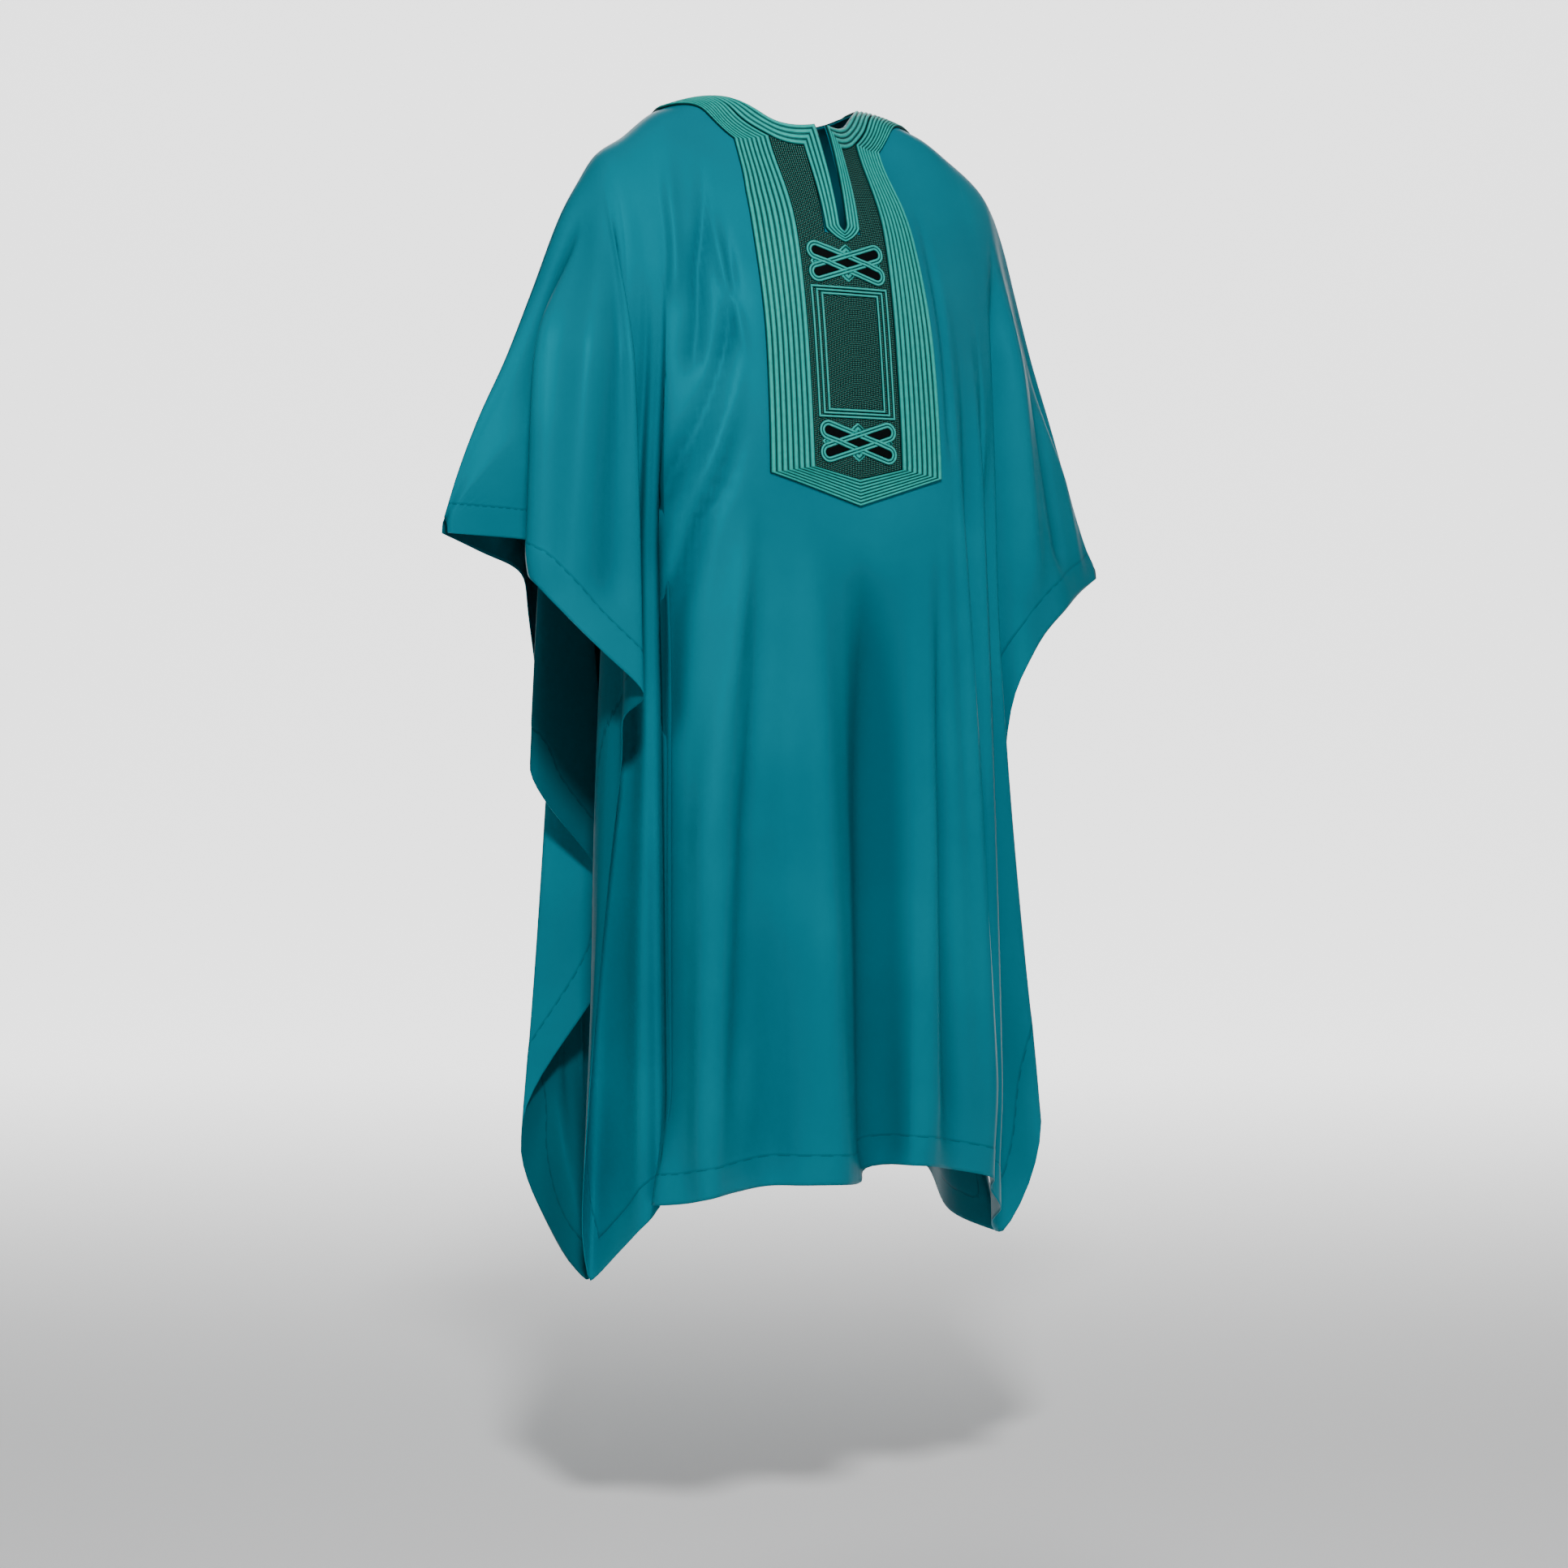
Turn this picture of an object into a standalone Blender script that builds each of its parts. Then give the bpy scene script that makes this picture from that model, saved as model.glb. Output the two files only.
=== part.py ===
# Grand boubou robe in its worn shape, with nothing inside it.
# Metres, +Z up, the front faces -Y and the wearer's left is +X.
# The origin is the middle of the neck opening, at the height of the shoulder ridge.

import math
from bisect import bisect_right
from collections import namedtuple

import bmesh
import bpy
from mathutils import Vector

# Cloth and embroidery thicknesses
CLOTH = 0.0012
SEAM_GAP = 0.0002  # half of the gap between front and back along the shoulder seam
FOLD_HALF = 0.0017  # half the width of the ridge fold's flat top
LIFT = 0.0018  # from a panel's outer face to the back of what is embroidered on it
BACK_NECK_LIFT = 0.0026  # the same behind the neck, where the cloth bends more
CORD_VALLEY = 0.0010  # thickness of an embroidered band between its cords, and on them
CORD_CREST = 0.0024
NET_TOP = 0.0028  # heights above the panel's outer face
MOTIF_BACK = 0.0033  # knots and frames lie on the net
MOTIF_EDGE = 0.0039
MOTIF_CREST = 0.0049

# Neck opening: half width, how far it reaches forwards and back, and how square it is
NECK_HALF_WIDTH = 0.085
NECK_FRONT = 0.0705
NECK_BACK = 0.060
NECK_FRONT_POWER = 1.25
NECK_BACK_POWER = 2.4
NECK_BACK_RISE = 0.008

# Front slit
SLIT_HALF_WIDTH = 0.0060
SLIT_HALF_WIDTH_LOW = 0.0035
SLIT_BOTTOM_Z = -0.146

# Embroidered front, as half widths from the slit's line and heights
PLACKET_INNER = 0.0525
PLACKET_OUTER = ((-0.41, 0.1040), (-0.28, 0.1020), (-0.15, 0.0985), (-0.04, 0.0880))
PLACKET_CORNER_INNER_Z = -0.396
PLACKET_CORNER_OUTER_Z = -0.404
PLACKET_POINT_INNER_Z = -0.408
PLACKET_POINT_OUTER_Z = -0.436
COLLAR_OUTER = 0.156
MITRE_OUTER = (0.0893, 0.0413)  # the outer corner of the placket's top, seen from above
COLLAR_INNER_RUN = 0.0237  # width of the neck cords where they cross the shoulder
COLLAR_FRONT_RUN = 0.0145  # the same, seen from above, at the front
OUTER_CORDS = 8
NECK_CORDS = 4
SLIT_BAND = 0.0165  # width of the neck cords beside the slit
SLIT_FOOT = 0.0120  # their height under the slit
BAND_GAP = 0.0005

# Framed window and the two knots on the net
FRAME_HALF_WIDTH = 0.0465
FRAME_TOP_Z = -0.206
FRAME_BOTTOM_Z = -0.345
FRAME_SIDE_PITCH = 0.0058
FRAME_END_PITCH = 0.0036
FRAME_CORD = 0.0030
KNOT_HEIGHTS = {"upper": -0.181, "lower": -0.3695}
KNOT_HALF_LENGTH = 0.0375
KNOT_TILT = math.radians(18)
KNOT_LOOP_RADIUS = 0.0075
KNOT_BAND = 0.0062

# Shoulder ridge, from the neck over the shoulder and down to each wing's tip: (x, z)
RIDGE_RIGHT = ((0.0, 0.003), (0.085, 0.003), (0.156, -0.015), (0.200, -0.048), (0.228, -0.067),
               (0.248, -0.096), (0.267, -0.128), (0.304, -0.217), (0.3325, -0.285),
               (0.3655, -0.353), (0.3915, -0.420), (0.4005, -0.450))
RIDGE_LEFT = ((0.0, 0.003), (0.085, 0.003), (0.156, -0.014), (0.200, -0.039), (0.238, -0.066),
              (0.259, -0.092), (0.2725, -0.121), (0.292, -0.180), (0.315, -0.250),
              (0.342, -0.322), (0.368, -0.395), (0.393, -0.462), (0.4035, -0.482))

# How far the cloth stands out in front of and behind the ridge, by place across and drop
YOKE_DROPS = (0.01, 0.03, 0.06, 0.15, 0.28, 0.41, 0.60)
FRONT_YOKE = (
    (0.000, 0.045, 0.071, 0.088, 0.117, 0.137, 0.148, 0.150),
    (0.050, 0.031, 0.045, 0.061, 0.111, 0.136, 0.147, 0.149),
    (0.100, 0.021, 0.031, 0.046, 0.097, 0.134, 0.145, 0.148),
    (0.156, 0.022, 0.034, 0.049, 0.085, 0.113, 0.128, 0.131),
    (0.200, 0.022, 0.036, 0.050, 0.076, 0.096, 0.108, 0.112),
    (0.235, 0.020, 0.032, 0.043, 0.063, 0.078, 0.085, 0.088),
    (0.268, 0.012, 0.018, 0.024, 0.034, 0.044, 0.050, 0.054),
    (0.305, 0.008, 0.012, 0.016, 0.024, 0.030, 0.034, 0.036),
    (0.350, 0.005, 0.008, 0.010, 0.014, 0.016, 0.017, 0.018),
    (0.403, 0.002, 0.003, 0.004, 0.004, 0.005, 0.005, 0.005),
)
BACK_YOKE = (
    (0.000, 0.048, 0.074, 0.094, 0.119, 0.130, 0.135, 0.135),
    (0.050, 0.044, 0.069, 0.090, 0.117, 0.129, 0.134, 0.134),
    (0.100, 0.036, 0.058, 0.079, 0.110, 0.125, 0.131, 0.131),
    (0.156, 0.028, 0.046, 0.063, 0.094, 0.112, 0.120, 0.120),
    (0.200, 0.022, 0.036, 0.050, 0.076, 0.094, 0.104, 0.106),
    (0.235, 0.018, 0.028, 0.038, 0.058, 0.074, 0.082, 0.085),
    (0.268, 0.011, 0.017, 0.023, 0.034, 0.044, 0.050, 0.054),
    (0.305, 0.007, 0.011, 0.015, 0.024, 0.030, 0.034, 0.036),
    (0.350, 0.005, 0.008, 0.010, 0.014, 0.016, 0.017, 0.018),
    (0.403, 0.002, 0.003, 0.004, 0.004, 0.005, 0.005, 0.005),
)

# One row for each fold line: where it leaves the shoulder ridge, the share of its drop
# at which it starts to stand out, its middle point and that point's share of the drop,
# and its point on the free edge.
Fold = namedtuple("Fold", "name top start mid mid_x mid_y end_x end_y end_z")
FRONT_FOLDS = [Fold(*row) for row in (
    ("right_tip", -0.4005, 0.20, 0.40, -0.4005, -0.005, -0.4005, -0.007, -0.467),
    ("right_wing_valley", -0.325, 0.10, 0.40, -0.326, -0.028, -0.305, -0.027, -0.476),
    ("right_wing_edge", -0.262, 0.05, 0.40, -0.325, -0.070, -0.353, -0.105, -0.515),
    ("right_wing_face", -0.250, 0.05, 0.40, -0.286, -0.112, -0.302, -0.136, -0.578),
    ("right_wing_inner", -0.238, 0.05, 0.40, -0.243, -0.120, -0.236, -0.131, -0.636),
    ("right_tuck", -0.234, 0.05, 0.40, -0.240, -0.096, -0.255, -0.094, -0.655),
    ("right_side_1", -0.231, 0.06, 0.40, -0.244, -0.084, -0.232, -0.079, -0.700),
    ("right_side_2", -0.228, 0.10, 0.40, -0.248, -0.075, -0.252, -0.062, -0.786),
    ("right_side_3", -0.224, 0.10, 0.40, -0.250, -0.067, -0.262, -0.056, -1.070),
    ("right_side_4", -0.220, 0.10, 0.40, -0.248, -0.057, -0.268, -0.042, -1.120),
    ("right_corner", -0.215, 0.10, 0.40, -0.236, -0.049, -0.236, 0.001, -1.241),
    ("right_valley_3", -0.209, 0.10, 0.40, -0.209, -0.057, -0.224, -0.064, -1.190),
    ("right_ridge_3", -0.202, 0.10, 0.40, -0.219, -0.084, -0.215, -0.086, -1.170),
    ("right_valley_2", -0.195, 0.10, 0.40, -0.200, -0.080, -0.196, -0.083, -1.155),
    ("right_ridge_2", -0.186, 0.10, 0.40, -0.233, -0.117, -0.229, -0.119, -1.146),
    ("right_side_front", -0.165, 0.20, 0.40, -0.193, -0.133, -0.204, -0.140, -1.144),
    ("right_ridge_1", -0.140, 0.20, 0.40, -0.156, -0.144, -0.187, -0.171, -1.135),
    ("placket_right", -0.112, 0.30, 0.40, -0.114, -0.146, -0.120, -0.153, -1.131),
    ("front_ridge_1", -0.060, 0.30, 0.40, -0.060, -0.150, -0.062, -0.186, -1.129),
    ("front_middle", 0.000, 0.30, 0.40, 0.000, -0.150, -0.004, -0.172, -1.134),
    ("front_valley", 0.044, 0.30, 0.40, 0.044, -0.149, 0.031, -0.155, -1.121),
    ("front_ridge_2", 0.080, 0.30, 0.40, 0.080, -0.147, 0.057, -0.172, -1.121),
    ("placket_left", 0.112, 0.30, 0.40, 0.113, -0.143, 0.122, -0.144, -1.134),
    ("left_ridge_1", 0.142, 0.22, 0.40, 0.146, -0.131, 0.182, -0.136, -1.150),
    ("left_valley_1", 0.158, 0.22, 0.40, 0.157, -0.112, 0.191, -0.102, -1.166),
    ("left_ridge_2", 0.172, 0.22, 0.40, 0.176, -0.118, 0.208, -0.106, -1.180),
    ("left_valley_2", 0.184, 0.22, 0.40, 0.186, -0.092, 0.226, -0.060, -1.205),
    ("left_corner", 0.195, 0.22, 0.40, 0.191, -0.078, 0.277, -0.001, -1.235),
    ("left_side_5", 0.200, 0.22, 0.40, 0.205, -0.088, 0.305, -0.043, -1.128),
    ("left_side_4", 0.205, 0.22, 0.40, 0.213, -0.094, 0.303, -0.046, -1.085),
    ("left_side_3", 0.214, 0.12, 0.40, 0.212, -0.066, 0.290, -0.008, -0.960),
    ("left_side_2", 0.222, 0.12, 0.40, 0.210, -0.044, 0.262, -0.020, -0.800),
    ("left_tuck", 0.230, 0.10, 0.40, 0.226, -0.050, 0.254, -0.044, -0.655),
    ("left_wing_inner", 0.238, 0.10, 0.40, 0.242, -0.070, 0.270, -0.062, -0.599),
    ("left_wing_face", 0.268, 0.10, 0.40, 0.274, -0.060, 0.315, -0.058, -0.546),
    ("left_wing_outer", 0.325, 0.15, 0.40, 0.334, -0.030, 0.362, -0.032, -0.517),
    ("left_tip", 0.4035, 0.20, 0.40, 0.4035, -0.005, 0.4035, -0.007, -0.499),
)]
BACK_FOLDS = [Fold(*row) for row in (
    ("right_tip", -0.4005, 0.20, 0.40, -0.4005, 0.005, -0.4005, 0.007, -0.467),
    ("right_wing_outer", -0.330, 0.10, 0.40, -0.332, 0.030, -0.336, 0.050, -0.484),
    ("right_wing_face", -0.268, 0.06, 0.40, -0.274, 0.066, -0.268, 0.092, -0.506),
    ("right_wing_inner", -0.243, 0.06, 0.40, -0.244, 0.088, -0.238, 0.138, -0.590),
    ("right_tuck", -0.236, 0.06, 0.40, -0.234, 0.090, -0.224, 0.148, -0.640),
    ("right_side_1", -0.231, 0.06, 0.40, -0.248, 0.068, -0.281, 0.060, -0.710),
    ("right_side_2", -0.224, 0.10, 0.45, -0.206, 0.074, -0.165, 0.058, -0.880),
    ("right_side_3", -0.216, 0.15, 0.62, -0.240, 0.102, -0.270, 0.114, -1.105),
    ("right_lap", -0.211, 0.15, 0.80, -0.222, 0.124, -0.254, 0.108, -1.160),
    ("right_corner", -0.206, 0.15, 0.80, -0.203, 0.128, -0.236, 0.008, -1.241),
    ("right_valley_3", -0.197, 0.20, 0.80, -0.182, 0.130, -0.192, 0.088, -1.205),
    ("right_ridge_3", -0.182, 0.20, 0.60, -0.184, 0.136, -0.200, 0.150, -1.172),
    ("right_valley_2", -0.150, 0.15, 0.40, -0.145, 0.118, -0.150, 0.132, -1.152),
    ("right_ridge_2", -0.105, 0.15, 0.40, -0.100, 0.138, -0.105, 0.178, -1.140),
    ("right_valley_1", -0.055, 0.15, 0.40, -0.055, 0.130, -0.050, 0.150, -1.136),
    ("back_middle", 0.000, 0.15, 0.40, 0.000, 0.140, 0.010, 0.182, -1.134),
    ("left_valley_1", 0.055, 0.15, 0.40, 0.055, 0.130, 0.060, 0.150, -1.137),
    ("left_ridge_2", 0.105, 0.15, 0.40, 0.105, 0.138, 0.120, 0.178, -1.143),
    ("left_valley_2", 0.150, 0.15, 0.40, 0.150, 0.118, 0.167, 0.152, -1.153),
    ("left_ridge_3", 0.180, 0.15, 0.50, 0.186, 0.126, 0.235, 0.185, -1.165),
    ("left_valley_3", 0.192, 0.15, 0.60, 0.212, 0.110, 0.280, 0.148, -1.180),
    ("left_ridge_4", 0.201, 0.15, 0.80, 0.238, 0.098, 0.2615, 0.100, -1.218),
    ("left_corner", 0.209, 0.15, 0.80, 0.252, 0.080, 0.2780, 0.0050, -1.235),
    ("left_side_3", 0.216, 0.15, 0.70, 0.250, 0.074, 0.290, 0.060, -1.100),
    ("left_side_2", 0.224, 0.15, 0.55, 0.238, 0.076, 0.270, 0.064, -0.860),
    ("left_side_1", 0.231, 0.12, 0.45, 0.234, 0.072, 0.252, 0.064, -0.720),
    ("left_tuck", 0.237, 0.10, 0.40, 0.241, 0.063, 0.258, 0.062, -0.655),
    ("left_wing_inner", 0.246, 0.10, 0.40, 0.252, 0.082, 0.264, 0.104, -0.605),
    ("left_wing_face", 0.272, 0.10, 0.40, 0.280, 0.064, 0.290, 0.088, -0.548),
    ("left_wing_outer", 0.330, 0.10, 0.40, 0.336, 0.030, 0.348, 0.048, -0.518),
    ("left_tip", 0.4035, 0.20, 0.40, 0.4035, 0.005, 0.4035, 0.007, -0.499),
)]

# How finely the walls are sampled
FRONT_STEP = 0.022
BACK_STEP = 0.030
YOKE_END = 0.42  # drop at which the yoke's closer rows end
YOKE_ROWS = 9
LOWER_ROWS = 4
NECK_PLACES = (0.015, 0.030, 0.045, 0.060, 0.072, 0.0805, 0.085, 0.095, 0.108, 0.123, 0.140,
               0.156)


def slopes_through(xs, ys):
    """Slopes of a smooth line through the points that makes no bump of its own."""
    steps = [(ys[i + 1] - ys[i]) / (xs[i + 1] - xs[i]) for i in range(len(xs) - 1)]
    found = [steps[0]]
    for i in range(1, len(steps)):
        a, b = steps[i - 1], steps[i]
        if a * b <= 0:
            found.append(0.0)
            continue
        left, right = xs[i] - xs[i - 1], xs[i + 1] - xs[i]
        wa, wb = 2 * right + left, right + 2 * left
        found.append((wa + wb) / (wa / a + wb / b))
    found.append(steps[-1])
    return found


class Line:
    """A smooth line through (x, y) points."""

    def __init__(self, xs, ys, slopes=None):
        self.xs, self.ys = list(xs), list(ys)
        self.slopes = slopes or slopes_through(self.xs, self.ys)

    def __call__(self, x):
        x = min(max(x, self.xs[0]), self.xs[-1])
        i = min(bisect_right(self.xs, x) - 1, len(self.xs) - 2)
        width = self.xs[i + 1] - self.xs[i]
        t = (x - self.xs[i]) / width
        a, b = self.ys[i], self.ys[i + 1]
        p, q = self.slopes[i] * width, self.slopes[i + 1] * width
        return (a * (2 * t**3 - 3 * t**2 + 1) + p * (t**3 - 2 * t**2 + t)
                + b * (3 * t**2 - 2 * t**3) + q * (t**3 - t**2))


ridge_lines = {-1: Line(*zip(*RIDGE_RIGHT)), 1: Line(*zip(*RIDGE_LEFT))}
placket_outer = Line(*zip(*PLACKET_OUTER))


def ridge_height(x):
    """Height of the shoulder ridge above a place x across."""
    return ridge_lines[1 if x > 0 else -1](abs(x))


def power_curve(half_width, depth, power, turn):
    """A point of a rounded outline seen from above, turning from the ridge to the middle."""
    c, s = abs(math.cos(turn)), math.sin(turn)
    reach = ((c / half_width) ** power + (s / depth) ** power) ** (-1 / power)
    return reach * math.cos(turn), reach * s


class Panel:
    """The front or the back, as a surface of fold lines hung from the shoulder ridge."""

    def __init__(self, side, folds, yoke, step, neck_depth, neck_power, neck_rise):
        self.side, self.step = side, step
        self.neck_depth, self.neck_power, self.neck_rise = neck_depth, neck_power, neck_rise
        across = [row[0] for row in yoke]
        self.yoke_lines = [Line(across, outs) for outs in list(zip(*yoke))[1:]]
        self.roots = [0.0] + [math.sqrt(drop) for drop in YOKE_DROPS]
        places = [0.0]
        for a, b in zip(folds, folds[1:]):
            middle = math.hypot(b.mid_x - a.mid_x, b.mid_y - a.mid_y)
            end = math.hypot(b.end_x - a.end_x, b.end_y - a.end_y)
            places.append(places[-1] + max((middle + end) / 2, 0.012))
        self.places = places
        self.lines = {
            field: Line(places, [getattr(fold, field) for fold in folds])
            for field in Fold._fields[1:]
        }
        self.sample()

    def top_z(self, x):
        """The height a fold line hangs from. It rises a little behind the neck."""
        inside = max(1 - (x / NECK_HALF_WIDTH) ** 2, 0)
        return ridge_height(x) + self.neck_rise * inside * inside

    def yoke_line(self, x):
        """How far the cloth stands out at a place across, by the square root of its drop."""
        return Line(self.roots, [0.0] + [line(abs(x)) for line in self.yoke_lines])

    def yoke_drop(self, x, out):
        """The drop at which the cloth stands out by this much."""
        line = self.yoke_line(x)
        low, high = 0.0, self.roots[-1]
        for _ in range(40):
            middle = (low + high) / 2
            if line(middle) < out:
                low = middle
            else:
                high = middle
        return low * low

    def place_of(self, x):
        """The place along the panel whose fold line leaves the ridge at x."""
        low, high = self.places[0], self.places[-1]
        for _ in range(40):
            middle = (low + high) / 2
            if self.lines["top"](middle) < x:
                low = middle
            else:
                high = middle
        return (low + high) / 2

    def fold(self, place):
        """The fold line at a place along the panel: its point at a drop, its top and length."""
        row = {field: line(place) for field, line in self.lines.items()}
        top_z = self.top_z(row["top"])
        length = top_z - row["end_z"]
        yoke = self.yoke_line(row["top"])
        mid = row["mid"]
        out_mid = self.side * yoke(math.sqrt(mid * length))
        out_end = self.side * yoke(math.sqrt(length))
        start = row["start"]
        stand = Line((start, mid, 1.0), (0.0, row["mid_y"] - out_mid, row["end_y"] - out_end))
        stand.slopes[0] = 0.0
        shift = Line((start, mid, 1.0), (0.0, row["mid_x"] - row["top"], row["end_x"] - row["top"]))
        shift.slopes[0] = 0.0

        def point(drop):
            share = drop / length
            x, y = row["top"], self.side * yoke(math.sqrt(drop))
            if share > start:
                x += shift(share)
                y += stand(share)
            return Vector((x, y, top_z - drop))

        return point, row["top"], length

    def neck_edge(self, x):
        """How far in front of or behind the ridge the neck opening's edge lies."""
        share = abs(x) / NECK_HALF_WIDTH
        return self.neck_depth * (1 - share**self.neck_power) ** (1 / self.neck_power)

    def drops(self, top_x, length):
        """The drops of a fold line's points: closer over the yoke, then even."""
        first = 0.0
        if abs(top_x) < NECK_HALF_WIDTH - 1e-6:
            first = self.yoke_drop(top_x, self.neck_edge(top_x))
        full = min(YOKE_END, 0.45 * length)
        low, high = math.sqrt(first), math.sqrt(full)
        close = min(full / 0.20, 1)  # a short fold line has its points evenly spaced
        upper = []
        for i in range(YOKE_ROWS + 1):
            share = i / YOKE_ROWS
            near = (low + (high - low) * share) ** 2
            upper.append(near * close + (first + (full - first) * share) * (1 - close))
        if first == 0.0:
            upper[1:1] = [0.0002]
        else:
            upper[1:1] = [(upper[0] + upper[1]) / 2]
        step = (length - full) / LOWER_ROWS
        return upper + [full + step * (i + 1) for i in range(LOWER_ROWS)]

    def sample(self):
        """The wall's outer points: columns at the fold lines and between them."""
        found = [self.places[0]]
        for a, b in zip(self.places, self.places[1:]):
            count = max(1, round((b - a) / self.step))
            found += [a + (b - a) * (i + 1) / count for i in range(count)]
        wanted = [self.place_of(side * x) for x in NECK_PLACES for side in (-1, 1)]
        if self.side < 0:
            wanted += [self.place_of(side * SLIT_HALF_WIDTH) for side in (-1, 0, 1)]
        found = [place for place in found if min(abs(place - near) for near in wanted) > 0.006]
        self.columns = sorted(found + wanted)
        self.tops, self.heights, self.points = [], [], []
        for place in self.columns:
            point, top_x, length = self.fold(place)
            drops = self.drops(top_x, length)
            column = [point(drop) for drop in drops]
            if drops[0] == 0.0:
                closed = min(max((length - 0.08) / 0.06, 0), 1)
                column[0].y = self.side * (FOLD_HALF + (SEAM_GAP - FOLD_HALF) * closed)
                for corner in column[1:YOKE_ROWS]:
                    corner.y = self.side * max(abs(corner.y), FOLD_HALF)
            if self.side < 0 and 0.003 < abs(top_x) < SLIT_HALF_WIDTH + 0.001:
                for corner in column:
                    corner.x = math.copysign(slit_half_width(corner.z), corner.x)
            self.tops.append(top_x)
            self.heights.append(drops)
            self.points.append(column)
        self.normals = [[self.grid_normal(i, j) for j in range(len(self.points[0]))]
                        for i in range(len(self.points))]

    def grid_normal(self, i, j):
        grid = self.points
        right, left = grid[min(i + 1, len(grid) - 1)][j], grid[max(i - 1, 0)][j]
        below, above = grid[i][min(j + 1, len(grid[0]) - 1)], grid[i][max(j - 1, 0)]
        return ((right - left).cross(below - above) * self.side).normalized()

    def moved_out(self, top_x, drop, height):
        """A point on the wall's own triangles, by ridge place and drop, moved out from them."""
        i = min(max(bisect_right(self.tops, top_x) - 1, 0), len(self.tops) - 2)
        u = (top_x - self.tops[i]) / (self.tops[i + 1] - self.tops[i])
        near, far = self.heights[i], self.heights[i + 1]
        drops = [a + (b - a) * u for a, b in zip(near, far)]
        j = min(max(bisect_right(drops, drop) - 1, 0), len(drops) - 2)
        v = (drop - drops[j]) / (drops[j + 1] - drops[j])
        made = []
        for grid in (self.points, self.normals):
            a, b, c, d = grid[i][j], grid[i][j + 1], grid[i + 1][j + 1], grid[i + 1][j]
            if v > u:
                made.append(a + (b - a) * v + (c - b) * u)
            else:
                made.append(a + (d - a) * u + (c - d) * v)
        return made[0] + made[1].normalized() * height


def slit_half_width(z):
    """Half the slit's width at a height, narrower towards its foot."""
    share = min(max(z / SLIT_BOTTOM_Z, 0), 1)
    return SLIT_HALF_WIDTH + (SLIT_HALF_WIDTH_LOW - SLIT_HALF_WIDTH) * share


FRONT = Panel(-1, FRONT_FOLDS, FRONT_YOKE, FRONT_STEP, NECK_FRONT, NECK_FRONT_POWER, 0.0)
BACK = Panel(1, BACK_FOLDS, BACK_YOKE, BACK_STEP, NECK_BACK, NECK_BACK_POWER, NECK_BACK_RISE)


def clear_scene():
    for old in list(bpy.data.objects):
        bpy.data.objects.remove(old, do_unlink=True)


def make_material(name, colour, roughness):
    material = bpy.data.materials.new(name)
    material.use_nodes = True
    shader = material.node_tree.nodes["Principled BSDF"]
    shader.inputs["Base Color"].default_value = (*colour, 1.0)
    shader.inputs["Roughness"].default_value = roughness
    shader.inputs["Metallic"].default_value = 0.0
    return material


def add_object(name, points, faces, material, collection):
    """A mesh object from points and faces, smooth shaded."""
    mesh = bpy.data.meshes.new(name)
    shape = bmesh.new()
    corners = [shape.verts.new(point) for point in points]
    for face in faces:
        shape.faces.new([corners[i] for i in face])
    loose = [corner for corner in shape.verts if not corner.link_faces]
    bmesh.ops.delete(shape, geom=loose, context="VERTS")
    shape.to_mesh(mesh)
    shape.free()
    mesh.shade_smooth()
    mesh.materials.append(material)
    made = bpy.data.objects.new(name, mesh)
    collection.objects.link(made)
    return made


def make_panel(name, panel, material, collection):
    """A panel as an open grid on its outer face, thickened inwards."""
    points = [point for column in panel.points for point in column]
    rows = len(panel.points[0])
    faces = []
    for i in range(len(panel.columns) - 1):
        middle = (panel.tops[i] + panel.tops[i + 1]) / 2
        beside_slit = panel.side < 0 and abs(middle) < SLIT_HALF_WIDTH
        for j in range(rows - 1):
            a, b = i * rows + j, (i + 1) * rows + j
            if beside_slit and points[a + 1].z > SLIT_BOTTOM_Z - 0.003:
                continue
            for face in ([a, a + 1, b + 1], [a, b + 1, b]):
                faces.append(face if panel.side < 0 else face[::-1])
    made = add_object(name, points, faces, material, collection)
    wall = made.modifiers.new("Wall", "SOLIDIFY")
    wall.solidify_mode = "NON_MANIFOLD"
    wall.nonmanifold_thickness_mode = "FIXED"
    wall.thickness = CLOTH
    wall.offset = -1
    return made


def band_profile(cords, back_points, lift):
    """Across-shares and heights of a corded band: crests and valleys, then its back."""
    top = []
    for i in range(2 * cords + 1):
        top.append((i / (2 * cords), lift + (CORD_CREST if i % 2 else CORD_VALLEY)))
    back = [(i / (back_points - 1), lift) for i in range(back_points)]
    return top + back[::-1]


def make_band(name, profile, stations, locate, material, collection, closed=False):
    """A band swept through its stations. locate gives the point for a station, share and height."""
    points, faces = [], []
    size = len(profile)
    for station in stations:
        points += [locate(station, share, height) for share, height in profile]
    rings = len(stations)
    for i in range(rings if closed else rings - 1):
        a, b = i * size, (i + 1) % rings * size
        for j in range(size):
            k = (j + 1) % size
            faces.append([a + j, b + j, b + k, a + k])
    if not closed:
        faces += [list(range(size)), list(range(rings * size - 1, (rings - 1) * size - 1, -1))]
    made = add_object(name, points, faces, material, collection)
    shape = bmesh.new()
    shape.from_mesh(made.data)
    bmesh.ops.recalc_face_normals(shape, faces=shape.faces)
    shape.to_mesh(made.data)
    shape.free()
    return made


def front_at(x, z, height):
    """A point above the front panel's outer face, by width and height."""
    return FRONT.moved_out(x, ridge_height(x) - z, height)


def yoke_at(panel, x, y, height):
    """A point above a panel near the neck, by its place seen from above."""
    return panel.moved_out(x, panel.yoke_drop(x, y), height)


def neck_curve(share, turn):
    """The neck cords' front seen from above, at a share of their width."""
    half_width = NECK_HALF_WIDTH + COLLAR_INNER_RUN * share
    depth = NECK_FRONT + COLLAR_FRONT_RUN * share
    return power_curve(half_width, depth, NECK_FRONT_POWER * (1 - 0.08 * share), turn)


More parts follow.
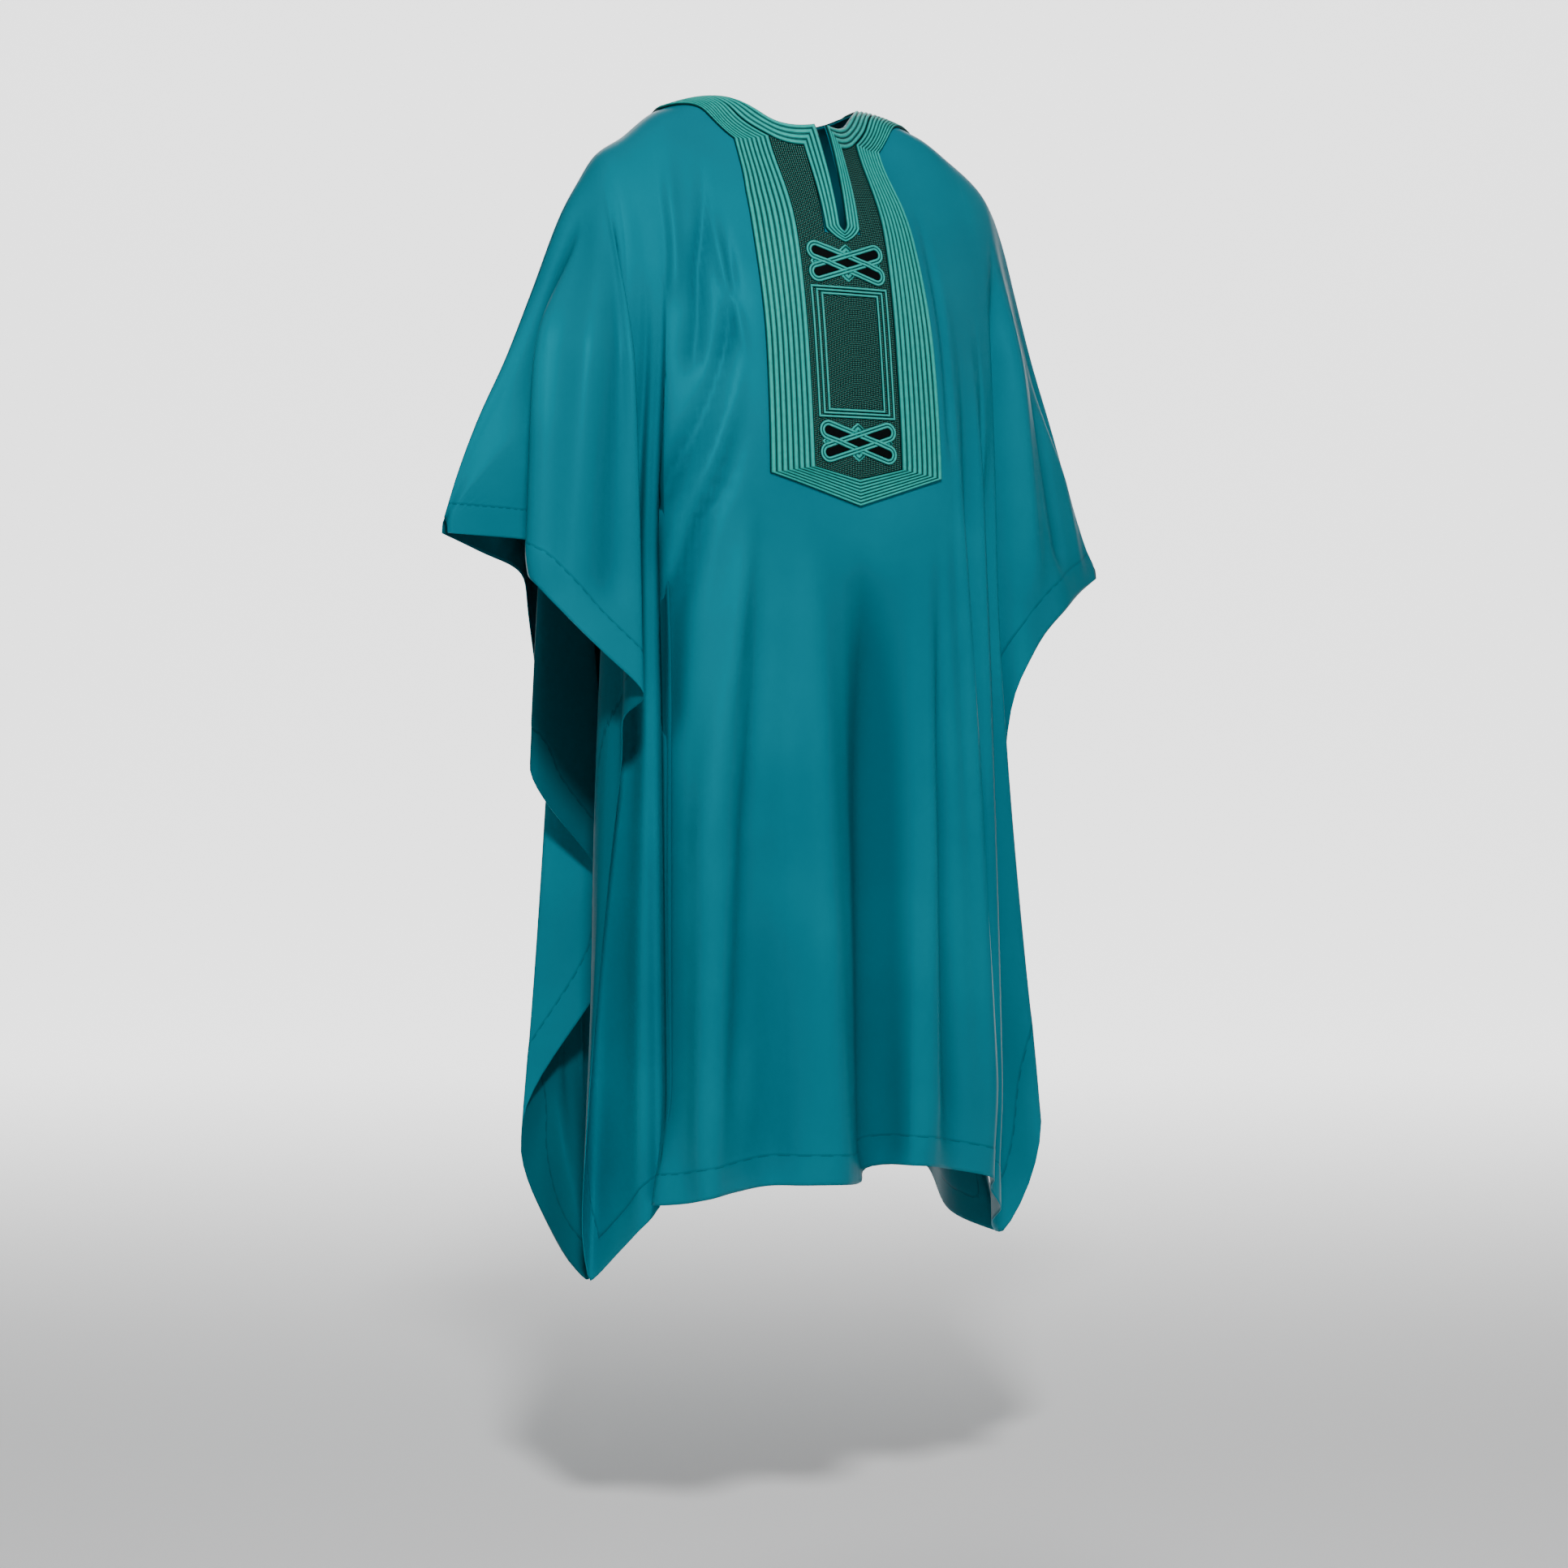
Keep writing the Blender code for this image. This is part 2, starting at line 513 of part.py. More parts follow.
def mitre_turn(x, share):
    """The turn at which a neck cord reaches this distance from the middle line."""
    low, high = 0.0, math.pi / 2
    for _ in range(40):
        middle = (low + high) / 2
        if neck_curve(share, middle)[0] > x:
            low = middle
        else:
            high = middle
    return low


def collar_curve(share, along):
    """The outer cords over the shoulder, from the ridge (0) to the placket's mitre (1)."""
    inner = Vector(neck_curve(1.0, along * mitre_turn(PLACKET_INNER, 1.0)))
    inner += Vector((0.6, 0.8)) * BAND_GAP
    outer = Vector((COLLAR_OUTER, 0.0)).lerp(Vector(MITRE_OUTER), along)
    return inner.lerp(outer, share)


def outer_band_point(station, share, height):
    """The outer band: over the shoulder, down the placket's side and along its point."""
    side, part, along = station
    if part == "collar":
        x, y = collar_curve(share, along)
        return yoke_at(FRONT, side * x, max(y, SEAM_GAP), height)
    corner_z = PLACKET_CORNER_INNER_Z + (PLACKET_CORNER_OUTER_Z - PLACKET_CORNER_INNER_Z) * share
    if part == "side":
        mitre = collar_curve(share, 1.0)
        top_z = ridge_height(side * mitre.x) - FRONT.yoke_drop(mitre.x, mitre.y)
        z = top_z + (corner_z - top_z) * along
        x = PLACKET_INNER + (placket_outer(z) - PLACKET_INNER) * share
        x += (mitre.x - x) * max(1 - along * 6, 0)
        return front_at(side * x, z, height)
    x = PLACKET_INNER + (placket_outer(corner_z) - PLACKET_INNER) * share
    point_z = PLACKET_POINT_INNER_Z + (PLACKET_POINT_OUTER_Z - PLACKET_POINT_INNER_Z) * share
    return front_at(side * x * (1 - along), corner_z + (point_z - corner_z) * along, height)


def outer_band_stations():
    half = [("collar", (i / 9) ** 1.4) for i in range(9)]
    half += [("side", (i / 17) ** 1.1) for i in range(18)]
    half += [("point", i / 3) for i in range(1, 4)]
    right = [(-1, part, along) for part, along in half]
    left = [(1, part, along) for part, along in half[:-1]]
    return right + left[::-1]


def neck_band_point(station, share, height):
    """The neck cords: from the ridge to the slit, down beside it and under its foot."""
    side, part, along = station
    slit_x = SLIT_HALF_WIDTH + BAND_GAP + SLIT_BAND * share
    if part == "neck":
        x, y = neck_curve(share, along * mitre_turn(slit_x, share))
        return yoke_at(FRONT, side * x, max(y, SEAM_GAP), height)
    top_y = neck_curve(share, mitre_turn(slit_x, share))[1]
    top_z = ridge_height(slit_x) - FRONT.yoke_drop(slit_x, top_y)
    foot_z = SLIT_BOTTOM_Z - 0.001 - SLIT_FOOT * share
    turn_z = SLIT_BOTTOM_Z + 0.006 - 0.004 * share
    if part == "slit":
        z = top_z + (turn_z - top_z) * along
        x = slit_half_width(z) + BAND_GAP + SLIT_BAND * share
        return front_at(side * x, z, height)
    low_x = slit_half_width(turn_z) + BAND_GAP + SLIT_BAND * share
    reach, level = ((low_x * 0.55, 0.75), (0.0, 1.0))[int(along) - 1]
    return front_at(side * reach, turn_z + (foot_z - turn_z) * level, height)


def neck_band_stations():
    half = [("neck", (i / 10) ** 1.4) for i in range(10)]
    half += [("slit", i / 7) for i in range(8)]
    half += [("foot", 1), ("foot", 2)]
    right = [(-1, part, along) for part, along in half]
    left = [(1, part, along) for part, along in half[:-1]]
    return right + left[::-1]


def back_band_point(station, share, height):
    """All the cords of the collar, round the back of the neck."""
    half_width = NECK_HALF_WIDTH + (COLLAR_OUTER - NECK_HALF_WIDTH) * share
    depth = NECK_BACK + 0.050 * share
    x, y = power_curve(half_width, depth, NECK_BACK_POWER, station)
    return yoke_at(BACK, x, max(y, SEAM_GAP), height)


def make_net(name, material, collection):
    """The dark net between the bands, with the slit's foot left open."""
    inset = 0.0005
    half = PLACKET_INNER - inset
    xs = (-half, -0.038, -0.0233, -0.0116, 0.0, 0.0116, 0.0233, 0.038, half)
    foot_z = SLIT_BOTTOM_Z - 0.001 - SLIT_FOOT
    slit_edge = SLIT_HALF_WIDTH + SLIT_BAND + 2 * BAND_GAP

    def top_of(x):
        out = neck_curve(1.0, mitre_turn(max(abs(x), 1e-4), 1.0))[1] + BAND_GAP
        return ridge_height(x) - FRONT.yoke_drop(x, out)

    def bottom_of(x):
        share = abs(x) / PLACKET_INNER
        return (PLACKET_POINT_INNER_Z * (1 - share) + PLACKET_CORNER_INNER_Z * share) + inset

    upper_rows, lower_rows = 7, 12
    split_z = foot_z - 0.0012
    points, faces = [], []
    rows = upper_rows + lower_rows + 1
    for x in xs:
        edge_x = math.copysign(slit_edge, x) if abs(abs(x) - 0.0233) < 1e-6 else x
        top_z, bottom_z = top_of(x), bottom_of(x)
        for j in range(rows):
            if j <= upper_rows:
                z = top_z + (split_z - top_z) * j / upper_rows
            else:
                z = split_z + (bottom_z - split_z) * (j - upper_rows) / lower_rows
            points.append(front_at(edge_x, z, NET_TOP))
    for i in range(len(xs) - 1):
        open_above = abs(xs[i] + xs[i + 1]) < 0.04
        for j in range(rows - 1):
            if open_above and j < upper_rows:
                continue
            faces.append([i * rows + j, i * rows + j + 1, (i + 1) * rows + j + 1, (i + 1) * rows + j])
    made = add_object(name, points, faces, material, collection)
    wall = made.modifiers.new("Wall", "SOLIDIFY")
    wall.thickness = NET_TOP - LIFT
    wall.offset = -1
    return made


def make_frame_cord(name, index, material, collection):
    """One of the nested rectangles of cord on the net."""
    half = FRAME_HALF_WIDTH - FRAME_SIDE_PITCH * index
    top_z = FRAME_TOP_Z - FRAME_END_PITCH * index
    bottom_z = FRAME_BOTTOM_Z + FRAME_END_PITCH * index
    corners = []
    for i in range(4):
        corners.append((-half + 2 * half * i / 4, top_z))
    for i in range(8):
        corners.append((half, top_z + (bottom_z - top_z) * i / 8))
    for i in range(4):
        corners.append((half - 2 * half * i / 4, bottom_z))
    for i in range(8):
        corners.append((-half, bottom_z + (top_z - bottom_z) * i / 8))
    middle_z = (top_z + bottom_z) / 2
    profile = ((0.0, MOTIF_EDGE), (0.5, MOTIF_CREST), (1.0, MOTIF_EDGE),
               (1.0, MOTIF_BACK), (0.0, MOTIF_BACK))

    def locate(station, share, height):
        x, z = station
        inward = FRAME_CORD * share
        if abs(abs(x) - half) < 1e-9:
            x -= math.copysign(inward, x)
        if abs(z - top_z) < 1e-9 or abs(z - bottom_z) < 1e-9:
            z += math.copysign(inward, middle_z - z)
        return front_at(x, z, height)

    return make_band(name, profile, corners, locate, material, collection, closed=True)


def stadium(half_length, radius, bend_steps, side_steps):
    """A long loop's line: two straight sides and two round ends."""
    found = []
    for end in (1, -1):
        for i in range(side_steps):
            found.append((end * (-half_length + 2 * half_length * i / side_steps), end * radius))
        for i in range(bend_steps):
            turn = math.pi / 2 - math.pi * i / bend_steps
            found.append((end * (half_length + radius * math.cos(turn)),
                          end * radius * math.sin(turn)))
    return found


def make_knot(name, centre_z, material, collection):
    """Two long loops that cross, each a flat corded band."""
    loops = []
    for tilt in (KNOT_TILT, -KNOT_TILT):
        stations = stadium(KNOT_HALF_LENGTH, KNOT_LOOP_RADIUS, 6, 6)
        profile = ((0.0, MOTIF_EDGE), (0.5, MOTIF_CREST), (1.0, MOTIF_EDGE),
                   (1.0, MOTIF_BACK), (0.0, MOTIF_BACK))

        def locate(station, share, height, tilt=tilt):
            along, out = station
            beyond = max(abs(along) - KNOT_HALF_LENGTH, 0)
            away = Vector((math.copysign(beyond, along), out)).normalized()
            step = KNOT_BAND * (0.5 - share)
            u, v = along + away.x * step, out + away.y * step
            x = u * math.cos(tilt) - v * math.sin(tilt)
            z = u * math.sin(tilt) + v * math.cos(tilt)
            return front_at(x, centre_z + z, height)

        loops.append(make_band(name, profile, stations, locate, material, collection, closed=True))
    second = loops[1]
    collection.objects.unlink(second)
    helpers.objects.link(second)
    second.name = name + "_second_loop"
    second.hide_render = True
    second.display_type = "WIRE"
    joint = loops[0].modifiers.new("Second loop", "BOOLEAN")
    joint.operation = "UNION"
    joint.solver = "EXACT"
    joint.object = second
    return loops[0]


clear_scene()
robe = bpy.data.collections.new("Grand boubou robe")
helpers = bpy.data.collections.new("Helpers")
bpy.context.scene.collection.children.link(robe)
bpy.context.scene.collection.children.link(helpers)

teal_cloth = make_material("Teal cloth", (0.004, 0.165, 0.230), 0.55)
mint_cord = make_material("Mint cord", (0.050, 0.480, 0.400), 0.40)
dark_net = make_material("Dark net", (0.008, 0.060, 0.055), 0.70)

make_panel("front_panel", FRONT, teal_cloth, robe)
make_panel("back_panel", BACK, teal_cloth, robe)
make_band("outer_cords", band_profile(OUTER_CORDS, 5, LIFT), outer_band_stations(),
          outer_band_point, mint_cord, robe)
make_band("neck_cords", band_profile(NECK_CORDS, 3, LIFT), neck_band_stations(),
          neck_band_point, mint_cord, robe)
back_turns = [math.pi / 2 * (i / 11) ** 1.2 for i in range(12)]
back_turns += [math.pi - turn for turn in back_turns[-2::-1]]
make_band("back_neck_cords", band_profile(OUTER_CORDS + NECK_CORDS, 7, BACK_NECK_LIFT), back_turns,
          back_band_point, mint_cord, robe)
make_net("placket_net", dark_net, robe)
for index, place in enumerate(("outer", "middle", "inner")):
    make_frame_cord("frame_cord_" + place, index, mint_cord, robe)
for place, centre_z in KNOT_HEIGHTS.items():
    make_knot("knot_" + place, centre_z, mint_cord, robe)
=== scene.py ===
# Grand boubou robe, dressed over its solids: fine cloth, corded collar and placket.
import math
from bisect import bisect_right
from collections import namedtuple

import bpy
import numpy as np
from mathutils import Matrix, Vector


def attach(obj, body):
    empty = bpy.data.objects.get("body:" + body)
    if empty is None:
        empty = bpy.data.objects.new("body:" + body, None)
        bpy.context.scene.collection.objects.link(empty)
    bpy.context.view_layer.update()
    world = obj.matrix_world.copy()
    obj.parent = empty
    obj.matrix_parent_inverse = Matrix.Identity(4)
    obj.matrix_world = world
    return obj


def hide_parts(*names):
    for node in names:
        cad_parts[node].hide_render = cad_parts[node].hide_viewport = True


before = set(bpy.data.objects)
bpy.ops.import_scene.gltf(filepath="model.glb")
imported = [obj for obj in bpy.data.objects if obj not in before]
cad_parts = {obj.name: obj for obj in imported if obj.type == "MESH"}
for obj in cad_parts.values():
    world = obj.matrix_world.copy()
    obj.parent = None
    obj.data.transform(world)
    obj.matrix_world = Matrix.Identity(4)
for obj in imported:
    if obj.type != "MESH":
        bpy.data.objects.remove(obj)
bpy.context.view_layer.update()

cloth = {
    "thickness": 0.0008,
    "seamGap": 0.0002,        # half of it, along the shoulder
    "foldHalf": 0.0012,       # half the width of the shoulder fold
    "columnStep": 0.0062,     # across the panel
    "yokeRows": 46,
    "lowerRows": 58,
    "hemRows": 12,
    "yokeEnd": 0.42,
    "hemZone": 0.046,
    "roundingPasses": 7,      # how softly the folds turn
    "hemWidth": 0.031,
    "hemRise": 0.0005,
    "waves": (                # height, length, start, sway, rate
        (0.0011, 0.083, 0.0, 2.1, 4.1),
        (0.0008, 0.047, 1.3, 3.0, 2.7),
    ),
}
neck = {"halfWidth": 0.085, "front": 0.0705, "back": 0.060, "frontPower": 1.25,
        "backPower": 2.4, "backRise": 0.008}
slit = {"halfWidth": 0.0060, "halfWidthLow": 0.0035, "bottomZ": -0.146}

# The shape's tables, in millimetres. First the shoulder ridge on each side, (x, z).
ridgeRight = ((0, 3), (85, 3), (156, -15), (200, -48), (228, -67), (248, -96), (267, -128),
              (304, -217), (332.5, -285), (365.5, -353), (391.5, -420), (400.5, -450))
ridgeLeft = ((0, 3), (85, 3), (156, -14), (200, -39), (238, -66), (259, -92), (272.5, -121),
             (292, -180), (315, -250), (342, -322), (368, -395), (393, -462), (403.5, -482))

# how far the cloth stands out below the ridge: a row per place across, a column per drop
yokeDrops = (10, 30, 60, 150, 280, 410, 600)
frontYoke = (
    (0, 45, 71, 88, 117, 137, 148, 150),
    (50, 31, 45, 61, 111, 136, 147, 149),
    (100, 21, 31, 46, 97, 134, 145, 148),
    (156, 22, 34, 49, 85, 113, 128, 131),
    (200, 22, 36, 50, 76, 96, 108, 112),
    (235, 20, 32, 43, 63, 78, 85, 88),
    (268, 12, 18, 24, 34, 44, 50, 54),
    (305, 8, 12, 16, 24, 30, 34, 36),
    (350, 5, 8, 10, 14, 16, 17, 18),
    (403, 2, 3, 4, 4, 5, 5, 5),
)
backYoke = (
    (0, 48, 74, 94, 119, 130, 135, 135),
    (50, 44, 69, 90, 117, 129, 134, 134),
    (100, 36, 58, 79, 110, 125, 131, 131),
    (156, 28, 46, 63, 94, 112, 120, 120),
    (200, 22, 36, 50, 76, 94, 104, 106),
    (235, 18, 28, 38, 58, 74, 82, 85),
    (268, 11, 17, 23, 34, 44, 50, 54),
    (305, 7, 11, 15, 24, 30, 34, 36),
    (350, 5, 8, 10, 14, 16, 17, 18),
    (403, 2, 3, 4, 4, 5, 5, 5),
)

# a row per fold line: the shares of its drop where it starts to stand out and where its
# middle point lies, where it leaves the ridge, its middle point, its point on the free edge
Fold = namedtuple("Fold", "name start mid top midX midY endX endY endZ")
frontFolds = (
    ("right_tip", 0.20, 0.40, -400.5, -400.5, -5, -400.5, -7, -467),
    ("right_wing_valley", 0.10, 0.40, -325, -326, -28, -305, -27, -476),
    ("right_wing_edge", 0.05, 0.40, -262, -325, -70, -353, -105, -515),
    ("right_wing_face", 0.05, 0.40, -250, -286, -112, -302, -136, -578),
    ("right_wing_inner", 0.05, 0.40, -238, -243, -120, -236, -131, -636),
    ("right_tuck", 0.05, 0.40, -234, -240, -96, -255, -94, -655),
    ("right_side_1", 0.06, 0.40, -231, -244, -84, -232, -79, -700),
    ("right_side_2", 0.10, 0.40, -228, -248, -75, -252, -62, -786),
    ("right_side_3", 0.10, 0.40, -224, -250, -67, -262, -56, -1070),
    ("right_side_4", 0.10, 0.40, -220, -248, -57, -268, -42, -1120),
    ("right_corner", 0.10, 0.40, -215, -236, -49, -236, 1, -1241),
    ("right_valley_3", 0.10, 0.40, -209, -209, -57, -224, -64, -1190),
    ("right_ridge_3", 0.10, 0.40, -202, -219, -84, -215, -86, -1170),
    ("right_valley_2", 0.10, 0.40, -195, -200, -80, -196, -83, -1155),
    ("right_ridge_2", 0.10, 0.40, -186, -233, -117, -229, -119, -1146),
    ("right_side_front", 0.20, 0.40, -165, -193, -133, -204, -140, -1144),
    ("right_ridge_1", 0.20, 0.40, -140, -156, -144, -187, -171, -1135),
    ("placket_right", 0.30, 0.40, -112, -114, -146, -120, -153, -1131),
    ("front_ridge_1", 0.30, 0.40, -60, -60, -150, -62, -186, -1129),
    ("front_middle", 0.30, 0.40, 0, 0, -150, -4, -172, -1134),
    ("front_valley", 0.30, 0.40, 44, 44, -149, 31, -155, -1121),
    ("front_ridge_2", 0.30, 0.40, 80, 80, -147, 57, -172, -1121),
    ("placket_left", 0.30, 0.40, 112, 113, -143, 122, -144, -1134),
    ("left_ridge_1", 0.22, 0.40, 142, 146, -131, 182, -136, -1150),
    ("left_valley_1", 0.22, 0.40, 158, 157, -112, 191, -102, -1166),
    ("left_ridge_2", 0.22, 0.40, 172, 176, -118, 208, -106, -1180),
    ("left_valley_2", 0.22, 0.40, 184, 186, -92, 226, -60, -1205),
    ("left_corner", 0.22, 0.40, 195, 191, -78, 277, -1, -1235),
    ("left_side_5", 0.22, 0.40, 200, 205, -88, 305, -43, -1128),
    ("left_side_4", 0.22, 0.40, 205, 213, -94, 303, -46, -1085),
    ("left_side_3", 0.12, 0.40, 214, 212, -66, 290, -8, -960),
    ("left_side_2", 0.12, 0.40, 222, 210, -44, 262, -20, -800),
    ("left_tuck", 0.10, 0.40, 230, 226, -50, 254, -44, -655),
    ("left_wing_inner", 0.10, 0.40, 238, 242, -70, 270, -62, -599),
    ("left_wing_face", 0.10, 0.40, 268, 274, -60, 315, -58, -546),
    ("left_wing_outer", 0.15, 0.40, 325, 334, -30, 362, -32, -517),
    ("left_tip", 0.20, 0.40, 403.5, 403.5, -5, 403.5, -7, -499),
)
backFolds = (
    ("right_tip", 0.20, 0.40, -400.5, -400.5, 5, -400.5, 7, -467),
    ("right_wing_outer", 0.10, 0.40, -330, -332, 30, -336, 50, -484),
    ("right_wing_face", 0.06, 0.40, -268, -274, 66, -268, 92, -506),
    ("right_wing_inner", 0.06, 0.40, -243, -244, 88, -238, 138, -590),
    ("right_tuck", 0.06, 0.40, -236, -234, 90, -224, 148, -640),
    ("right_side_1", 0.06, 0.40, -231, -248, 68, -281, 60, -710),
    ("right_side_2", 0.10, 0.45, -224, -206, 74, -165, 58, -880),
    ("right_side_3", 0.15, 0.62, -216, -240, 102, -270, 114, -1105),
    ("right_lap", 0.15, 0.80, -211, -222, 124, -254, 108, -1160),
    ("right_corner", 0.15, 0.80, -206, -203, 128, -236, 8, -1241),
    ("right_valley_3", 0.20, 0.80, -197, -182, 130, -192, 88, -1205),
    ("right_ridge_3", 0.20, 0.60, -182, -184, 136, -200, 150, -1172),
    ("right_valley_2", 0.15, 0.40, -150, -145, 118, -150, 132, -1152),
    ("right_ridge_2", 0.15, 0.40, -105, -100, 138, -105, 178, -1140),
    ("right_valley_1", 0.15, 0.40, -55, -55, 130, -50, 150, -1136),
    ("back_middle", 0.15, 0.40, 0, 0, 140, 10, 182, -1134),
    ("left_valley_1", 0.15, 0.40, 55, 55, 130, 60, 150, -1137),
    ("left_ridge_2", 0.15, 0.40, 105, 105, 138, 120, 178, -1143),
    ("left_valley_2", 0.15, 0.40, 150, 150, 118, 167, 152, -1153),
    ("left_ridge_3", 0.15, 0.50, 180, 186, 126, 235, 185, -1165),
    ("left_valley_3", 0.15, 0.60, 192, 212, 110, 280, 148, -1180),
    ("left_ridge_4", 0.15, 0.80, 201, 238, 98, 261.5, 100, -1218),
    ("left_corner", 0.15, 0.80, 209, 252, 80, 278, 5, -1235),
    ("left_side_3", 0.15, 0.70, 216, 250, 74, 290, 60, -1100),
    ("left_side_2", 0.15, 0.55, 224, 238, 76, 270, 64, -860),
    ("left_side_1", 0.12, 0.45, 231, 234, 72, 252, 64, -720),
    ("left_tuck", 0.10, 0.40, 237, 241, 63, 258, 62, -655),
    ("left_wing_inner", 0.10, 0.40, 246, 252, 82, 264, 104, -605),
    ("left_wing_face", 0.10, 0.40, 272, 280, 64, 290, 88, -548),
    ("left_wing_outer", 0.10, 0.40, 330, 336, 30, 348, 48, -518),
    ("left_tip", 0.20, 0.40, 403.5, 403.5, 5, 403.5, 7, -499),
)

# soft troughs (minus) and ridges (plus) over the folds: side, depth, half width and a path
# of (place across the panel, height)
creases = (
    (-1, -29, 34, ((812, -380), (812, -750), (816, -1000), (820, -1200))),
    (-1, 13, 26, ((736, -400), (738, -750), (744, -1000), (752, -1200))),
    (-1, 7, 14, ((880, -500), (882, -800), (884, -1150))),
    (-1, -11.5, 11, ((898, -440), (904, -680), (911, -920), (918, -1140))),
    (-1, 11, 10, ((938, -220), (950, -570), (957, -760), (962, -1165))),
    (-1, -13, 11, ((973, -190), (985, -570), (987, -1185))),
    (-1, 8.5, 9, ((1010, -190), (1017, -570), (1014, -1185))),
    (-1, -12, 12, ((1044, -210), (1058, -600), (1054, -1160))),
    (-1, -24, 34, ((536, -150), (538, -420), (541, -800), (545, -1165))),
    (-1, 12, 26, ((640, -400), (622, -620), (612, -900), (604, -1165))),
    (-1, 9, 11, ((662, -260), (612, -360), (576, -450), (558, -540))),
    (-1, -12, 12, ((676, -315), (634, -382), (592, -450), (568, -550),
                          (562, -690))),
    (-1, -8.5, 10, ((640, -215), (602, -305), (572, -385), (552, -450))),
    (-1, 7.5, 15, ((680, -385), (643, -500), (614, -650), (594, -830))),
    (-1, -8, 14, ((696, -425), (671, -560), (652, -760), (643, -1080))),
    (-1, 6.5, 12, ((578, -45), (560, -120), (548, -230))),
    (-1, -9, 10, ((634, -55), (609, -130), (587, -190), (571, -310))),
    (-1, 5.5, 10, ((616, -105), (625, -194), (655, -285))),
    (-1, -6, 11, ((652, -130), (640, -210), (604, -300))),
    (-1, -8, 20, ((690, -560), (688, -880), (684, -1165))),
    (-1, 11, 12, ((168, -110), (156, -300), (155, -545))),
    (-1, -9.5, 15, ((262, -100), (244, -260), (232, -420), (226, -570))),
    (-1, 6.5, 15, ((222, -120), (204, -300), (196, -460), (192, -570))),
    (-1, -7.5, 17, ((120, -190), (105, -340), (98, -490))),
    (-1, 6.5, 12, ((1262, -110), (1268, -300), (1266, -540))),
    (-1, -8.5, 14, ((1300, -150), (1312, -340), (1316, -510))),
    (-1, 7, 15, ((1345, -220), (1362, -380), (1370, -510))),
    (-1, -8.5, 10, ((918, -85), (932, -200), (930, -390))),
    (1, -12, 24, ((662, -110), (656, -400), (655, -860))),
    (1, 9.5, 24, ((712, -140), (715, -500), (716, -1130))),
    (1, -12.5, 27, ((770, -280), (770, -700), (765, -1165))),
    (1, 9.5, 26, ((832, -200), (835, -700), (840, -1150))),
    (1, -11.5, 23, ((892, -240), (886, -760), (887, -1165))),
    (1, 9, 21, ((942, -150), (950, -600), (946, -1160))),
    (1, -11, 18, ((990, -120), (1000, -500), (1004, -1110))),
    (1, -7.5, 14, ((110, -180), (98, -320), (94, -490))),
    (1, 6.5, 14, ((160, -140), (148, -300), (145, -490))),
    (1, 6.5, 14, ((1330, -140), (1334, -300), (1332, -530))),
    (1, -7.5, 16, ((1370, -180), (1384, -340), (1388, -510))),
    (1, -6, 13, ((600, -90), (590, -220), (560, -420))),
    (1, -6, 13, ((1060, -90), (1075, -230), (1100, -430))),
)


def metres(rows):
    return [[value / 1000 for value in row] for row in rows]


def slopesThrough(xs, ys):
    # slopes for a smooth line that makes no bump of its own
    steps = [(ys[i + 1] - ys[i]) / (xs[i + 1] - xs[i]) for i in range(len(xs) - 1)]
    found = [steps[0]]
    for i in range(1, len(steps)):
        a, b = steps[i - 1], steps[i]
        if a * b <= 0:
            found.append(0.0)
            continue
        left, right = xs[i] - xs[i - 1], xs[i + 1] - xs[i]
        wa, wb = 2 * right + left, right + 2 * left
        found.append((wa + wb) / (wa / a + wb / b))
    found.append(steps[-1])
    return found


class Line:
    # a smooth line through points, for one value or an array

    def __init__(self, xs, ys, levelStart=False):
        self.xs, self.ys = np.array(xs, float), np.array(ys, float)
        self.slopes = np.array(slopesThrough(list(xs), list(ys)))
        if levelStart:
            self.slopes[0] = 0.0

    def __call__(self, x):
        x = np.clip(x, self.xs[0], self.xs[-1])
        i = np.clip(np.searchsorted(self.xs, x, side="right") - 1, 0, len(self.xs) - 2)
        width = self.xs[i + 1] - self.xs[i]
        t = (x - self.xs[i]) / width
        p, q = self.slopes[i] * width, self.slopes[i + 1] * width
        return (self.ys[i] * (2 * t**3 - 3 * t**2 + 1) + p * (t**3 - 2 * t**2 + t)
                + self.ys[i + 1] * (3 * t**2 - 2 * t**3) + q * (t**3 - t**2))


ridgeLines = {-1: Line(*zip(*metres(ridgeRight))), 1: Line(*zip(*metres(ridgeLeft)))}


def ridgeHeight(x):
    return float(ridgeLines[1 if x > 0 else -1](abs(x)))


def bisected(low, high, isLow):
    for _ in range(40):
        middle = (low + high) / 2
        if isLow(middle):
            low = middle
        else:
            high = middle
    return (low + high) / 2


def powerCurve(halfWidth, depth, power, turn):
    # a point of a rounded outline seen from above
    c, s = abs(math.cos(turn)), math.sin(turn)
    reach = ((c / halfWidth) ** power + (s / depth) ** power) ** (-1 / power)
    return reach * math.cos(turn), reach * s


def smoothStep(value):
    value = np.clip(value, 0, 1)
    return value * value * (3 - 2 * value)


